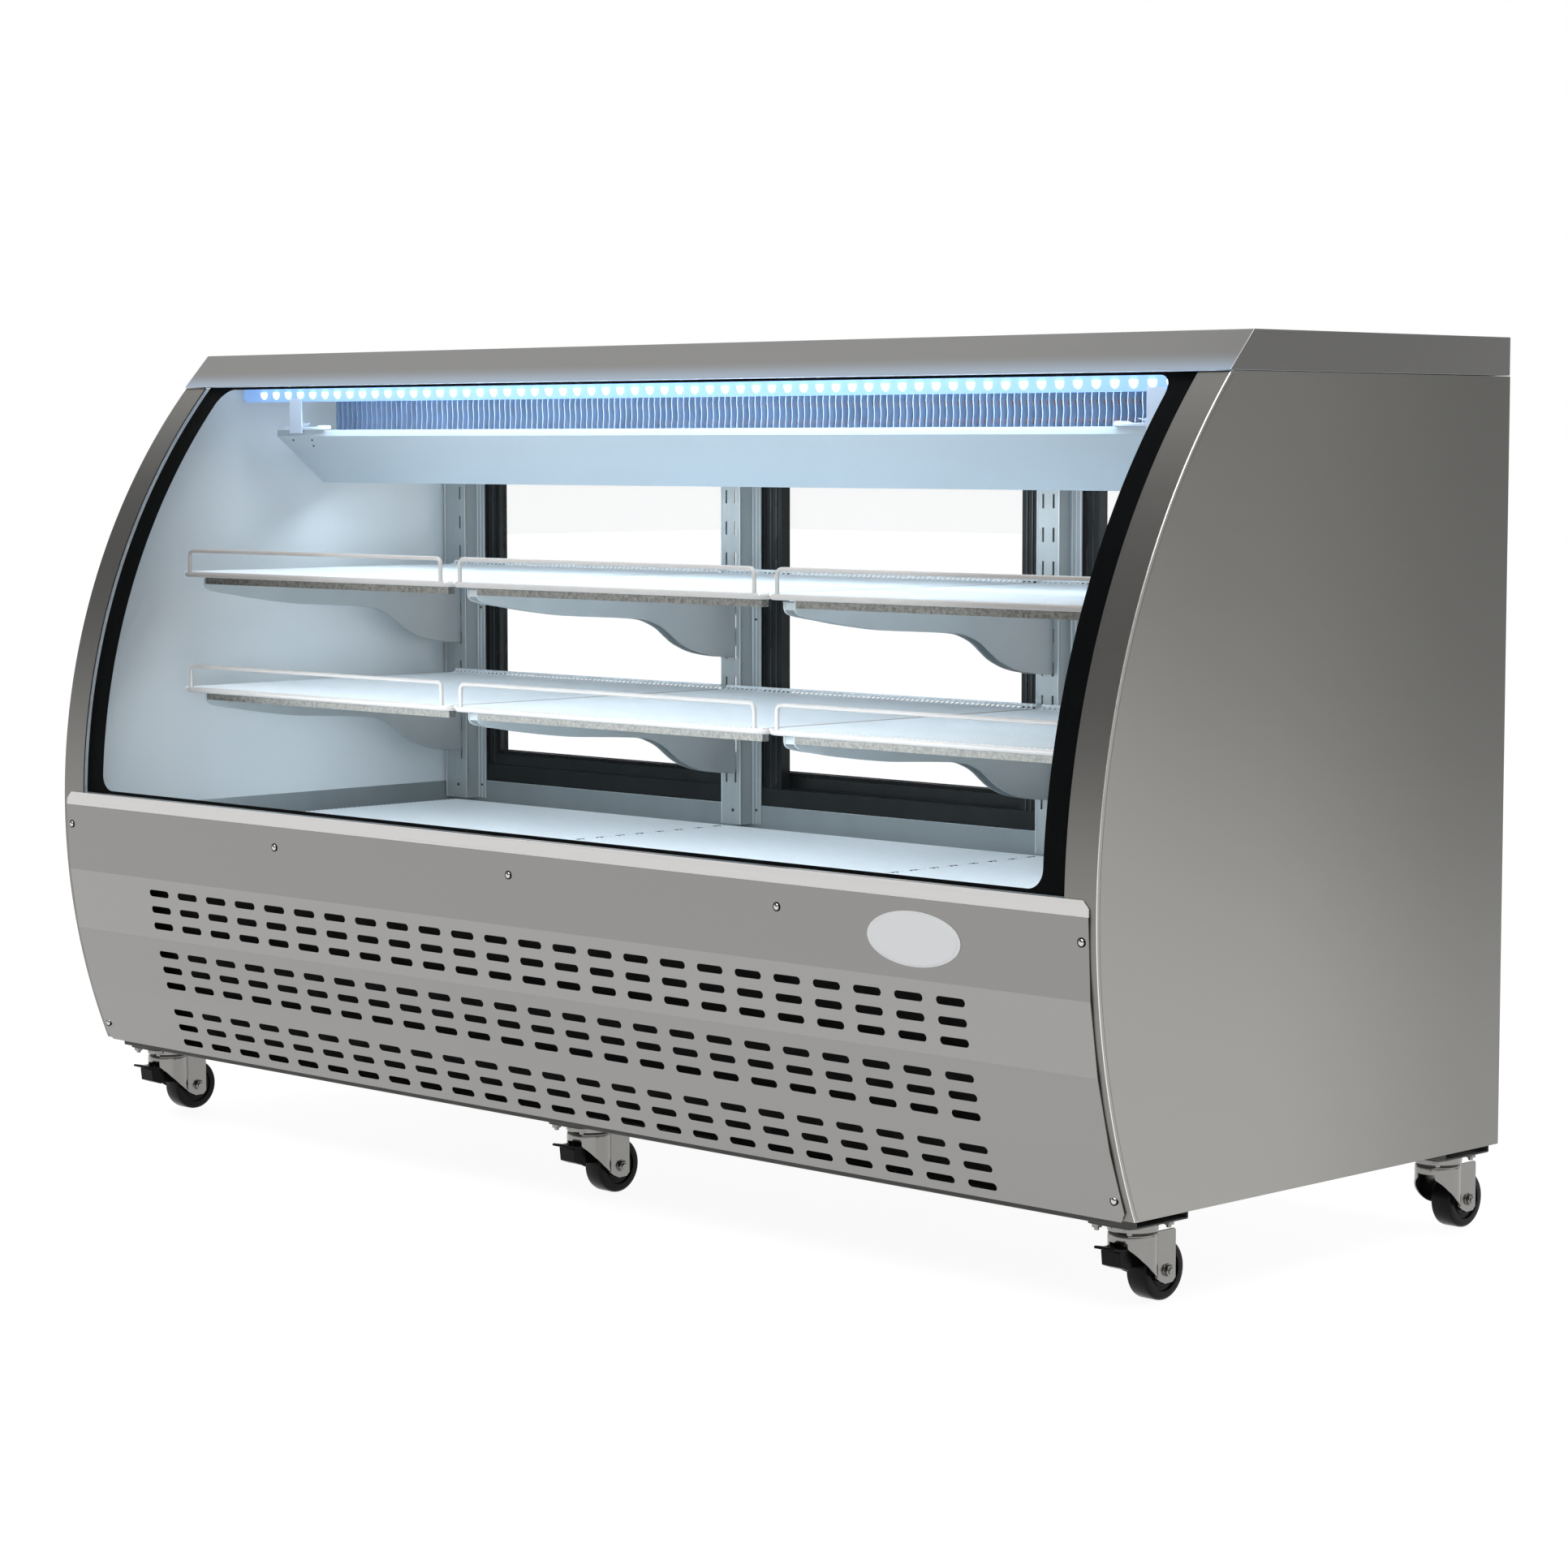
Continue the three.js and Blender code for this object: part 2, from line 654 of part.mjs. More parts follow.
// Side view of the fork's flat legs about the swivel axis: [y, z]
const legProfile = [
  [18, 88.6], [56, 88.6], [57.5, 86], [57.5, 27], [52, 22], [38, 21.4], [28, 26], [18, 33],
];

// Side view of what is left of the fork's round skirt, scooped away over the wheel: [y, z]
const skirtProfile = [
  [-32, 82], [-32, 77.6], [-27.3, 76], [-26.2, 71], [-20, 64.4], [-13.4, 57], [-5, 49.4], [3.2, 42],
  [12, 35.4], [20, 31.6], [25, 30], [25, 82],
];

// Swivel fork: a round skirt under the head, flat legs behind it and the fixed axle bolt
function casterFork() {
  const head = turnedZ([[0, 77.6], [29, 77.6], [30.8, 80], [30.8, 86], [29, 89.6], [0, 89.6]], 24);
  const tube = turnedZ([[27.8, 20], [30, 20], [30, 84], [27.8, 84], [27.8, 20]], 24);
  const skirt = tube.intersect(alongX(skirtProfile, -40, 40)).subtract(box(-16.9, 16.9, -40, 40, 0, 77.6));
  const rightLeg = alongX(legProfile, 17, 19.6);
  const leftLeg = alongX(legProfile, -19.6, -17);
  const bolt = turnedX([[0, -23], [4.8, -23], [4.8, 27], [0, 27]], 8);
  const boltHead = turnedX([[0, -24.6], [7.2, -24.6], [7.2, -19], [0, -19]], 6);
  const nut = turnedX([[0, 19], [7.2, 19], [7.2, 25], [0, 25]], 6);
  const axle = join([bolt, boltHead, nut]).translate([0, casterTrail, wheelRadius]);
  return join([head, skirt, rightLeg, leftLeg, axle]);
}

// Wheel with a recessed web on each face
function casterWheel() {
  const w = wheelHalfWidth;
  const profile = [
    [5.2, -w], [24, -w + 2.4], [27, -w], [34.6, -w], [wheelRadius, -w + 3],
    [wheelRadius, w - 3], [34.6, w], [27, w], [24, w - 2.4], [5.2, w],
    [5.2, -w],
  ];
  return turnedX(profile, 20).translate([0, casterTrail, wheelRadius]);
}

// Foot pedal: a lever and housing in front of the wheel, and a narrow shoe that reaches back to it
function brakePedal() {
  const lever = [
    [-54, 73.2], [-53, 76.6], [-36, 73.4], [-19, 73.4], [-19, 47], [-24, 45.6], [-40, 51.6], [-41.6, 69],
  ];
  const shoe = [[-22, 60], [3, 60], [1, 45], [-22, 47]];
  return join([alongX(lever, -15, 15), alongX(shoe, -9, 9)]);
}

const fork = casterFork();
const wheel = casterWheel();
const pedal = brakePedal();
for (const [row, axisY] of [["front", frontAxisY], ["rear", rearAxisY]]) {
  for (const [side, x] of casterXs) {
    addPart(`caster_fork_${row}_${side}`, fork.translate([x, axisY, 0]), zinc);
    addPart(`caster_wheel_${row}_${side}`, wheel.translate([x, axisY, 0]), blackRubber);
  }
}
for (const [side, x] of casterXs) {
  addPart(`brake_pedal_${side}`, pedal.translate([x, frontAxisY, 0]), blackPlastic);
}

// ---- Origin -------------------------------------------------------------------------------

// The origin is the middle of the footprint, at floor level
const extent = new THREE.Box3().setFromObject(deliCase);
const middle = extent.getCenter(new THREE.Vector3());
for (const mesh of deliCase.children) {
  mesh.geometry.translate(0, -middle.y, -extent.min.z);
}

export default deliCase;
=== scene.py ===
"""Looks of the refrigerated deli case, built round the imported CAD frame.

Lengths in this file are millimetres in the CAD drawing's axes: +X along the case, -Y towards
the customer, +Z up, with y = 430 at the cabinet's back. at() turns them into the row frame.
"""
import math

import bmesh
import bpy
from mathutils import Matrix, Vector


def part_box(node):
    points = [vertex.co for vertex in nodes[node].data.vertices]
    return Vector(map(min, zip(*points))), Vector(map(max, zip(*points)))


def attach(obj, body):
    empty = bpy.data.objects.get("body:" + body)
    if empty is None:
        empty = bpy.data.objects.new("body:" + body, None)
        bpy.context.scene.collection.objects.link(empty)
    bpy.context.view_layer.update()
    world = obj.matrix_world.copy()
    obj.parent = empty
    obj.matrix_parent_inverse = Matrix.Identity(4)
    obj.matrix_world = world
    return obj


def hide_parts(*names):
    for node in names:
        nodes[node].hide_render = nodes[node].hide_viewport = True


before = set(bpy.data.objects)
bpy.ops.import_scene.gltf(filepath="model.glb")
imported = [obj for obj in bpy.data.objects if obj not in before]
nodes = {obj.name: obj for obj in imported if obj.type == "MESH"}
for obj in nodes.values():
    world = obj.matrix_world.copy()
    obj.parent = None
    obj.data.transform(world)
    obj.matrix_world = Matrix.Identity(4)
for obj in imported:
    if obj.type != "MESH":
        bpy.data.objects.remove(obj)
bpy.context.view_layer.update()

MM = 0.001
BACK_Y = 430.0
SHIFT_Y = BACK_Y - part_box("side_panel_right")[1].y / MM


def at(x, y, z):
    """A drawing point in millimetres as a row-frame point in metres."""
    return Vector((x * MM, (y - SHIFT_Y) * MM, z * MM))


# ---- Camera ----

CAMERA_AZIMUTH, CAMERA_ELEVATION = math.radians(44.889), math.radians(4.974)
CAMERA_PLACE = (3906.2, -3780.0, 1023.2)
SENSOR_WIDTH, FOCAL_LENGTH = 36, 89.45


def make_camera():
    level = math.cos(CAMERA_ELEVATION)
    across, away = math.sin(CAMERA_AZIMUTH) * level, -math.cos(CAMERA_AZIMUTH) * level
    back = Vector((across, away, math.sin(CAMERA_ELEVATION)))
    data = bpy.data.cameras.new("camera")
    data.sensor_width = SENSOR_WIDTH
    data.lens = FOCAL_LENGTH
    data.clip_start, data.clip_end = 0.1, 100
    camera = bpy.data.objects.new("camera", data)
    camera.location = at(*CAMERA_PLACE)
    camera.rotation_mode = "QUATERNION"
    camera.rotation_quaternion = (-back).to_track_quat("-Z", "Y")
    bpy.context.scene.collection.objects.link(camera)
    bpy.context.scene.camera = camera


make_camera()

# ---- Materials ----


def new_material(name):
    material = bpy.data.materials.new(name)
    material.use_nodes = True
    shader = material.node_tree.nodes["Principled BSDF"]
    return material, material.node_tree, shader


def set_sockets(node, **values):
    """Sets a node's input sockets; an underscore stands for a space in a socket's name."""
    for name, value in values.items():
        node.inputs[name.replace("_", " ")].default_value = value


def noise(tree, scale, detail=3.0, stretch=(1, 1, 1)):
    """A noise value over the object's own coordinates, stretched along the axes."""
    coords = tree.nodes.new("ShaderNodeTexCoord")
    mapping = tree.nodes.new("ShaderNodeMapping")
    set_sockets(mapping, Scale=stretch)
    texture = tree.nodes.new("ShaderNodeTexNoise")
    set_sockets(texture, Scale=scale, Detail=detail)
    tree.links.new(coords.outputs["Object"], mapping.inputs["Vector"])
    tree.links.new(mapping.outputs["Vector"], texture.inputs["Vector"])
    return texture.outputs["Fac"]


def spread(tree, value, low, high):
    """The noise value moved into a range."""
    ramp = tree.nodes.new("ShaderNodeMapRange")
    set_sockets(ramp, From_Min=0.3, From_Max=0.7, To_Min=low, To_Max=high)
    tree.links.new(value, ramp.inputs["Value"])
    return ramp.outputs["Result"]


def tint(tree, value, dark, light):
    """A colour that runs from dark to light with the value."""
    ramp = tree.nodes.new("ShaderNodeValToRGB")
    ramp.color_ramp.elements[0].position = 0.3
    ramp.color_ramp.elements[1].position = 0.7
    ramp.color_ramp.elements[0].color = (*dark, 1)
    ramp.color_ramp.elements[1].color = (*light, 1)
    tree.links.new(value, ramp.inputs["Fac"])
    return ramp.outputs["Color"]


def bump(tree, shader, value, strength, distance):
    node = tree.nodes.new("ShaderNodeBump")
    set_sockets(node, Strength=strength, Distance=distance)
    tree.links.new(value, node.inputs["Height"])
    tree.links.new(node.outputs["Normal"], shader.inputs["Normal"])


def finish(name, color, rough, metal=0.0, vary=0.06, scale=40.0, stretch=(1, 1, 1), drift=0.05,
           bump_by=0.0, coat=0.0, specular=0.5):
    """Procedural finish: colour and roughness drift with a noise, and a fine bump."""
    material, tree, shader = new_material(name)
    dark = [c * (1 - vary) for c in color]
    light = [min(1.0, c * (1 + vary)) for c in color]
    grain = noise(tree, scale, 4.0, stretch)
    tree.links.new(tint(tree, grain, dark, light), shader.inputs["Base Color"])
    tree.links.new(spread(tree, grain, rough - drift, rough + drift), shader.inputs["Roughness"])
    set_sockets(shader, Metallic=metal, Coat_Weight=coat, Coat_Roughness=0.1)
    set_sockets(shader, Specular_IOR_Level=specular)
    if bump_by:
        bump(tree, shader, grain, bump_by, 0.0004)
    return material


def hazy_color(tree, shader, color, scale):
    haze = noise(tree, scale, 1.0)
    tree.links.new(tint(tree, haze, [c * 0.97 for c in color], color), shader.inputs["Base Color"])


def glow_material(name, color, strength, rough=0.3):
    material, tree, shader = new_material(name)
    hazy_color(tree, shader, color, 8.0)
    set_sockets(shader, Roughness=rough, Emission_Color=(*color, 1), Emission_Strength=strength)
    return material


def fade_along(tree, axis, start, stop, low, high):
    """A value that eases from low to high between two places, in metres, on one axis."""
    coords = tree.nodes.new("ShaderNodeTexCoord")
    split = tree.nodes.new("ShaderNodeSeparateXYZ")
    fade = tree.nodes.new("ShaderNodeMapRange")
    fade.interpolation_type = "SMOOTHSTEP"
    set_sockets(fade, From_Min=start, From_Max=stop, To_Min=low, To_Max=high)
    tree.links.new(coords.outputs["Object"], split.inputs["Vector"])
    tree.links.new(split.outputs[axis], fade.inputs["Value"])
    return fade.outputs["Result"]


def painted_glow_from_below(material, low, high, color, strength):
    """Painted light: emission that stands in for light from the bar below, fading out up the sheet."""
    tree = material.node_tree
    shader = tree.nodes["Principled BSDF"]
    fade = fade_along(tree, "Z", low, high, strength, 0.0)
    tree.links.new(fade, shader.inputs["Emission Strength"])
    set_sockets(shader, Emission_Color=(*color, 1))
    return material


def painted_shade_depth(material, start, stop, front, back):
    """Painted shade: the colour eases from front to back between two depths, in metres."""
    tree = material.node_tree
    depth = fade_along(tree, "Y", start, stop, 0.3, 0.7)
    tree.links.new(tint(tree, depth, front, back), tree.nodes["Principled BSDF"].inputs["Base Color"])
    return material


def glass_material(name, color, alpha):
    material, tree, shader = new_material(name)
    hazy_color(tree, shader, color, 2.0)
    set_sockets(shader, Roughness=0.02, Specular_IOR_Level=0.25, Alpha=alpha, IOR=1.12)
    return material


GRAIN_X, GRAIN_Y, GRAIN_Z = (0.01, 3, 3), (3, 0.01, 3), (3, 3, 0.01)
CAP_STEEL = (0.31, 0.307, 0.30)
LINER_WHITE = (0.80, 0.875, 0.91)
NEAR_BLACK = (0.004, 0.004, 0.004)


def steel(name, color, rough=0.23, vary=0.007, drift=0.01, stretch=GRAIN_X, metal=1):
    """Brushed stainless, with its grain drawn out along one axis."""
    return finish(name, color, rough, metal, vary, 150, stretch, drift)


MATS = {
    "steel": steel("brushed_steel", (0.295, 0.291, 0.283)),
    # Painted shade: the side sheet's colour darkens from front to back, standing in for darker reflections
    # towards the back.
    "steel_side_painted_shade": painted_shade_depth(
        steel("brushed_steel_side_painted_shade", (0.33, 0.325, 0.31), 0.32, stretch=GRAIN_Y),
        -0.15, 0.40, (0.345, 0.34, 0.325), (0.245, 0.242, 0.232),
    ),
    "steel_strip": steel("brushed_steel_strip", (0.235, 0.231, 0.219), 0.36, 0.01, 0.02, GRAIN_Z, 0.85),
    # Painted shade and painted light: darker and lighter copies of the brushed steel for the top two
    # facets of the front panel.
    "steel_shade": steel("brushed_steel_upper_painted_shade", (0.274, 0.270, 0.262)),
    "steel_lit": steel("brushed_steel_middle_painted_light", (0.325, 0.321, 0.312)),
    "steel_cap": steel("brushed_steel_cap", CAP_STEEL, 0.3, 0.015, 0.02),
    # Painted light: the cap's front faces glow blue near the bottom for the light bar below.
    "cap_painted_bar_light": painted_glow_from_below(
        steel("brushed_steel_cap_painted_bar_light", CAP_STEEL, 0.3, 0.015, 0.02),
        1.106, 1.134, (0.42, 0.68, 1.0), 0.34,
    ),
    # Painted highlight: a bright finish on the side sheet's outermost bend.
    "edge": finish("folded_edge_painted_highlight", (0.86, 0.85, 0.83), 0.25, 0.6, 0.02, 80),
    # Painted highlight: the up-facing ledge facet of the steel panel gets a bright plain colour for the
    # light from above.
    "ledge": finish("ledge_painted_highlight", (0.64, 0.63, 0.62), 0.3, 0.0, 0.015, 60, (0.02, 3, 3), 0.04),
    "screw": finish("polished_screw", (0.62, 0.61, 0.60), 0.16, 1, 0.04, 300),
    "liner": finish("white_liner", LINER_WHITE, 0.4, 0, 0.012, 6, drift=0.04),
    # Painted shade: the end wall liners darken towards the front.
    "wall": painted_shade_depth(
        finish("end_wall_liner_painted_shade", LINER_WHITE, 0.4, 0, 0.012, 6, drift=0.04),
        -0.34, 0.06, (0.40, 0.425, 0.44), (0.84, 0.90, 0.93),
    ),
    "grey_trim": finish("grey_trim", (0.30, 0.335, 0.345), 0.4, 0.25, 0.04, 30, (1, 1, 0.1)),
    "standard": finish("grey_standard", (0.43, 0.465, 0.475), 0.36, 0.35, 0.05, 40, (3, 3, 0.05)),
    # Painted highlight: bright strips along the standards' bent edges.
    "fold": finish("fold_painted_highlight", (0.72, 0.76, 0.77), 0.3, 0.2, 0.03, 40, (1, 1, 0.1)),
    "bracket": finish("grey_bracket", (0.42, 0.46, 0.475), 0.42, 0.25, 0.03, 20),
    "wire": finish("coated_wire", (0.40, 0.38, 0.365), 0.33, 0, 0.03, 60, coat=0.25),
    "deck_wire": finish("coated_deck_wire", (0.80, 0.85, 0.88), 0.36, 0, 0.03, 60),
    # Painted shade: a grey grainy strip standing in for the shelf wires' undersides in shadow.
    "foil": finish("crinkled_painted_wire_shade", (0.17, 0.165, 0.15), 0.45, 0.6, 0.5, 260, drift=0.15, bump_by=0.5),
    "black_frame": finish("black_frame", (0.008, 0.010, 0.010), 0.36, 0, 0.25, 25, (1, 1, 0.2), 0.06,
                          specular=0.22),
    "rib": finish("frame_rib", (0.055, 0.06, 0.06), 0.3, 0.5, 0.2, 30, (1, 1, 0.2)),
    "frit": finish("black_print", (0.001, 0.001, 0.001), 0.5, 0, 0.3, 12, specular=0.015),
    # Painted shade: near-black for the sheet behind the louvres.
    "dark": finish("black_painted_shade", NEAR_BLACK, 0.8, 0, 0.3, 30, drift=0.1),
    "rail": finish("dark_rail", (0.06, 0.06, 0.058), 0.5, 0.6, 0.2, 30),
    "zinc": finish("zinc_plate", (0.27, 0.265, 0.255), 0.2, 1, 0.03, 25, drift=0.02),
    "rubber": finish("black_tread", NEAR_BLACK, 0.24, 0, 0.3, 60, specular=0.12),
    "plastic": finish("black_plastic", NEAR_BLACK, 0.3, 0, 0.3, 80, drift=0.06, specular=0.1),
    "enamel": finish("black_enamel", (0.012, 0.012, 0.012), 0.25, 0, 0.2, 50, bump_by=0.04, coat=0.4),
    "pan": finish("pan_enamel", (0.47, 0.56, 0.63), 0.38, 0.1, 0.012, 8),
    "fin": finish("fin_aluminium", (0.36, 0.48, 0.66), 0.4, 0.3, 0.12, 80, (1, 1, 0.3), 0.1),
    # Painted shade: the coil's end plates are dark blue-black for the shade at the coil's ends.
    "fin_shade": finish("coil_end_plate", (0.030, 0.045, 0.075), 0.5, 0.2, 0.1, 60),
    "copper": finish("copper_tube", (0.62, 0.24, 0.13), 0.3, 1, 0.1, 90),
    "badge": finish("badge_plate", (0.66, 0.67, 0.68), 0.35, 0.1, 0.004, 20, drift=0.01),
    "led": glow_material("led_dome", (0.92, 0.97, 1.0), 3.0),
    "lens": glow_material("light_lens", (0.30, 0.52, 0.95), 0.34),
    # Painted light: a faint blue glow on the light bar's plastic posts.
    "bright_white": glow_material("plastic_painted_glow", (0.62, 0.73, 0.88), 0.08),
    "curved_glass": glass_material("curved_glass", (0.10, 0.12, 0.13), 0.015),
    "door_glass": glass_material("door_glass", (0.60, 0.63, 0.65), 0.03),
}

# ---- Mesh helpers ----


def mark_sharp(mesh, degrees=30):
    """Smooth shading that keeps edges sharper than the angle crisp."""
    work = bmesh.new()
    work.from_mesh(mesh)
    for face in work.faces:
        face.smooth = True
    for edge in work.edges:
        if len(edge.link_faces) != 2 or edge.calc_face_angle(0) > math.radians(degrees):
            edge.smooth = False
    work.to_mesh(mesh)
    work.free()


def bevel_edges(obj, width, segments=2, degrees=30):
    """Rounds edges sharper than the angle by a width in millimetres."""
    cut = obj.modifiers.new("edge", "BEVEL")
    cut.width = width * MM
    cut.segments = segments
    cut.limit_method = "ANGLE"
    cut.angle_limit = math.radians(degrees)


def link(name, mesh, material, slot, body, bevel=0.0, replaces=(), sharp=30):
    """Puts a finished mesh in the scene as a piece that rides on a CAD body."""
    obj = bpy.data.objects.new(name, mesh)
    bpy.context.scene.collection.objects.link(obj)
    for item in material if isinstance(material, (list, tuple)) else [material]:
        mesh.materials.append(MATS[item])
    mark_sharp(mesh, sharp)
    if bevel:
        bevel_edges(obj, bevel, degrees=35)
    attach(obj, body)
    if replaces:
        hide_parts(*replaces)
    return obj


def mesh_from(name, points, faces):
    """points are drawing millimetres."""
    mesh = bpy.data.meshes.new(name)
    mesh.from_pydata([at(*p) for p in points], [], faces)
    work = bmesh.new()
    work.from_mesh(mesh)
    bmesh.ops.recalc_face_normals(work, faces=work.faces)
    work.to_mesh(mesh)
    work.free()
    return mesh


class Shape:
    """Collects closed solids, in drawing millimetres, into one mesh."""

    def __init__(self):
        self.points = []
        self.faces = []

    def add(self, points, faces):
        start = len(self.points)
        self.points += points
        self.faces += [[start + i for i in face] for face in faces]

    def loft(self, rings, closed=False):
        """Equal rings of points joined in order, then capped or joined back to the first."""
        n = len(rings[0])
        starts = [n * i for i in range(len(rings))]
        pairs = list(zip(starts, starts[1:])) + ([(starts[-1], 0)] if closed else [])
        faces = [[a + i, a + (i + 1) % n, b + (i + 1) % n, b + i] for a, b in pairs for i in range(n)]
        if not closed:
            faces += [list(range(n))[::-1], list(range(starts[-1], starts[-1] + n))]
        self.add([point for ring in rings for point in ring], faces)

    def prism(self, outline, place, low, high):
        """An outline swept between two stations; place(a, b, station) gives the 3D point."""
        self.loft([[place(a, b, station) for a, b in outline] for station in (low, high)])

    def along_x(self, outline, x0, x1):
        self.prism(outline, lambda y, z, x: (x, y, z), x0, x1)

    def along_y(self, outline, y0, y1):
        self.prism(outline, lambda x, z, y: (x, y, z), y0, y1)

    def along_z(self, outline, z0, z1):
        self.prism(outline, lambda x, y, z: (x, y, z), z0, z1)

    def box(self, x0, x1, y0, y1, z0, z1):
        self.along_z([(x0, y0), (x1, y0), (x1, y1), (x0, y1)], z0, z1)

    def turned(self, profile, centre, axis="z", segments=32, phase=0.0):
        """A closed loop or an axis-to-axis line of (radius, height) points turned about an axis."""
        closed = profile[0][0] > 1e-6
        rows = []
        points = []
        for radius, height in profile:
            row = []
            count = 1 if radius < 1e-6 else segments
            for i in range(count):
                angle = phase + 2 * math.pi * i / segments
                a, b = radius * math.cos(angle), radius * math.sin(angle)
                local = {"x": (height, a, b), "y": (a, height, b), "z": (a, b, height)}[axis]
                row.append(len(points))
                points.append(tuple(c + d for c, d in zip(centre, local)))
            rows.append(row)
        faces = []
        pairs = list(zip(rows, rows[1:])) + ([(rows[-1], rows[0])] if closed else [])
        for lower, upper in pairs:
            a, b = len(lower), len(upper)
            for i in range(segments):
                j = (i + 1) % segments
                face = dict.fromkeys((lower[i % a], lower[j % a], upper[j % b], upper[i % b]))
                if len(face) > 2:
                    faces.append(list(face))
        self.add(points, faces)

    def tube(self, path, radius, sides=10):
        """A round bar along a line of points, with flat ends."""
        path = [Vector(p) for p in path]
        rings = []
        side = None
        for i, here in enumerate(path):
            before = path[max(i - 1, 0)]
            after = path[min(i + 1, len(path) - 1)]
            along = (after - before).normalized()
            if side is None:
                seed = Vector((0, 0, 1)) if abs(along.z) < 0.9 else Vector((1, 0, 0))
                side = along.cross(seed).normalized()
            side = (side - along * side.dot(along)).normalized()
            up = along.cross(side)
            angles = [2 * math.pi * k / sides for k in range(sides)]
            rings.append([tuple(here + (side * math.cos(a) + up * math.sin(a)) * radius) for a in angles])
        self.loft(rings)

    def piece(self, name, material, slot, body="cabinet", **options):
        return link(name, mesh_from(name, self.points, self.faces), material, slot, body, **options)


def rounded_path(points, radius, steps=6):
    """A line of points with its inner corners rounded."""
    points = [Vector(p) for p in points]
    result = [points[0]]
    for before, here, after in zip(points, points[1:], points[2:]):
        a = (before - here).normalized()
        b = (after - here).normalized()
        start, end = here + a * radius, here + b * radius
        for i in range(steps + 1):
            t = i / steps
            result.append(start * (1 - t) ** 2 + here * 2 * t * (1 - t) + end * t * t)
    result.append(points[-1])
    return [tuple(p) for p in result]


def smooth_line(points, steps=5):
    """A Catmull-Rom line through 2D points."""
    result = []
    padded = [points[0], *points, points[-1]]
    for p0, p1, p2, p3 in zip(padded, padded[1:], padded[2:], padded[3:]):
        for i in range(steps):
            t = i / steps
            result.append(
                tuple(
                    0.5 * (2 * b + (c - a) * t + (2 * a - 5 * b + 4 * c - d) * t * t
                           + (3 * b - a - 3 * c + d) * t ** 3)
                    for a, b, c, d in zip(p0, p1, p2, p3)
                )
            )
    result.append(points[-1])
    return result


def paint(node, material, bevel=0.0, segments=2):
    """A finished look on a CAD node that is shown as it is."""
    obj = nodes[node]
    obj.data.materials.clear()
    obj.data.materials.append(MATS[material])
    if bevel:
        bevel_edges(obj, bevel, segments)


# ---- Cabinet shell ----

HALF = 1025.0
ARC_Y, ARC_Z = 574.2, 481.2
SIDE_RADIUS, GLASS_RADIUS, PANEL_RADIUS = 952.3, 951.5, 955.6
SIDE_LOW, SIDE_HIGH = 116.4, 1110.6
CAP_LOW, CAP_HIGH = 1111.4, 1160.4


def arc_front(z, radius):
    return ARC_Y - math.sqrt(radius * radius - (z - ARC_Z) ** 2)


def arc_line(radius, z0, z1, steps):
    return [
        (arc_front(z0 + (z1 - z0) * i / steps, radius), z0 + (z1 - z0) * i / steps)
        for i in range(steps + 1)
    ]


def side_skin(sign, name):
    """End panel sheet with the strip returned along the curved front and a bent edge."""
    steps = 96
    shape = Shape()
    edge = 1.6
    section = [
        (HALF - 50, 0.0), (HALF - edge - 1.2, 0.0), (HALF - edge, 0.0), (HALF - 0.5, 0.5), (HALF, edge),
        (HALF, 5), (HALF - 2, 5), (HALF - 2, 2.0), (HALF - 50, 2.0),
    ]
    rings = []
    for y, z in arc_line(SIDE_RADIUS, SIDE_LOW, SIDE_HIGH, steps):
        away = Vector((ARC_Y - y, ARC_Z - z)).normalized()
        rings.append([(sign * x, y + away.x * inset, z + away.y * inset) for x, inset in section])
    shape.loft(rings)
    inner = arc_line(SIDE_RADIUS - 4.5, SIDE_LOW, SIDE_HIGH, steps)
    outline = [*inner, (BACK_Y, SIDE_HIGH), (BACK_Y, SIDE_LOW)]
    x0, x1 = sorted((sign * (HALF - 2), sign * HALF))
    shape.along_x(outline, x0, x1)
    skin = shape.piece(name, ["steel_side_painted_shade", "steel_strip", "edge"], "stainless",
                       replaces=[f"side_panel_{name[10:]}"])
    # Faces round the curved front take the strip steel, and the outermost bend takes the painted
    # highlight.
    for face in skin.data.polygons:
        reach = abs(face.center.x) / MM
        if abs(face.normal.x) < 0.9 and face.center.y < 0.3:
            face.material_index = 2 if reach > HALF - 1.7 else 1


side_skin(1, "side_skin_right")
side_skin(-1, "side_skin_left")

cap_outline = [(-98.2, CAP_HIGH), (-143, CAP_LOW), (-141.4, CAP_LOW), (-97.4, CAP_HIGH - 1.4)]
cap_rear = [(BACK_Y - 1.5, CAP_HIGH - 1.4), (BACK_Y - 1.5, CAP_LOW), (BACK_Y, CAP_LOW), (BACK_Y, CAP_HIGH)]
cap = Shape()
cap.along_x(cap_outline + cap_rear, -HALF, HALF)
for x0 in (-HALF, HALF - 1.5):
    end = [(-98.2, CAP_HIGH - 0.2), (-142.8, CAP_LOW), (BACK_Y - 0.2, CAP_LOW)]
    end.append((BACK_Y - 0.2, CAP_HIGH - 0.2))
    cap.along_x(end, x0 + 0.05, x0 + 1.45)
roof = cap.piece("roof_cap", ["steel_cap", "cap_painted_bar_light"], "stainless", bevel=0.9,
                 replaces=["top_cap"])
# Painted light: the front-facing faces take the steel with the bar's glow painted on.
for face in roof.data.polygons:
    face.material_index = 1 if face.normal.y < -0.5 else 0
paint("ceiling", "liner")

# ---- Front glass and its printed border ----

GLASS_HALF = 974.4
GLASS_LOW, GLASS_HIGH = 501.4, 1110.8
VIEW_HALF, VIEW_LOW, VIEW_HIGH, VIEW_CORNER = 935.0, 506.4, 1107.0, 24.0

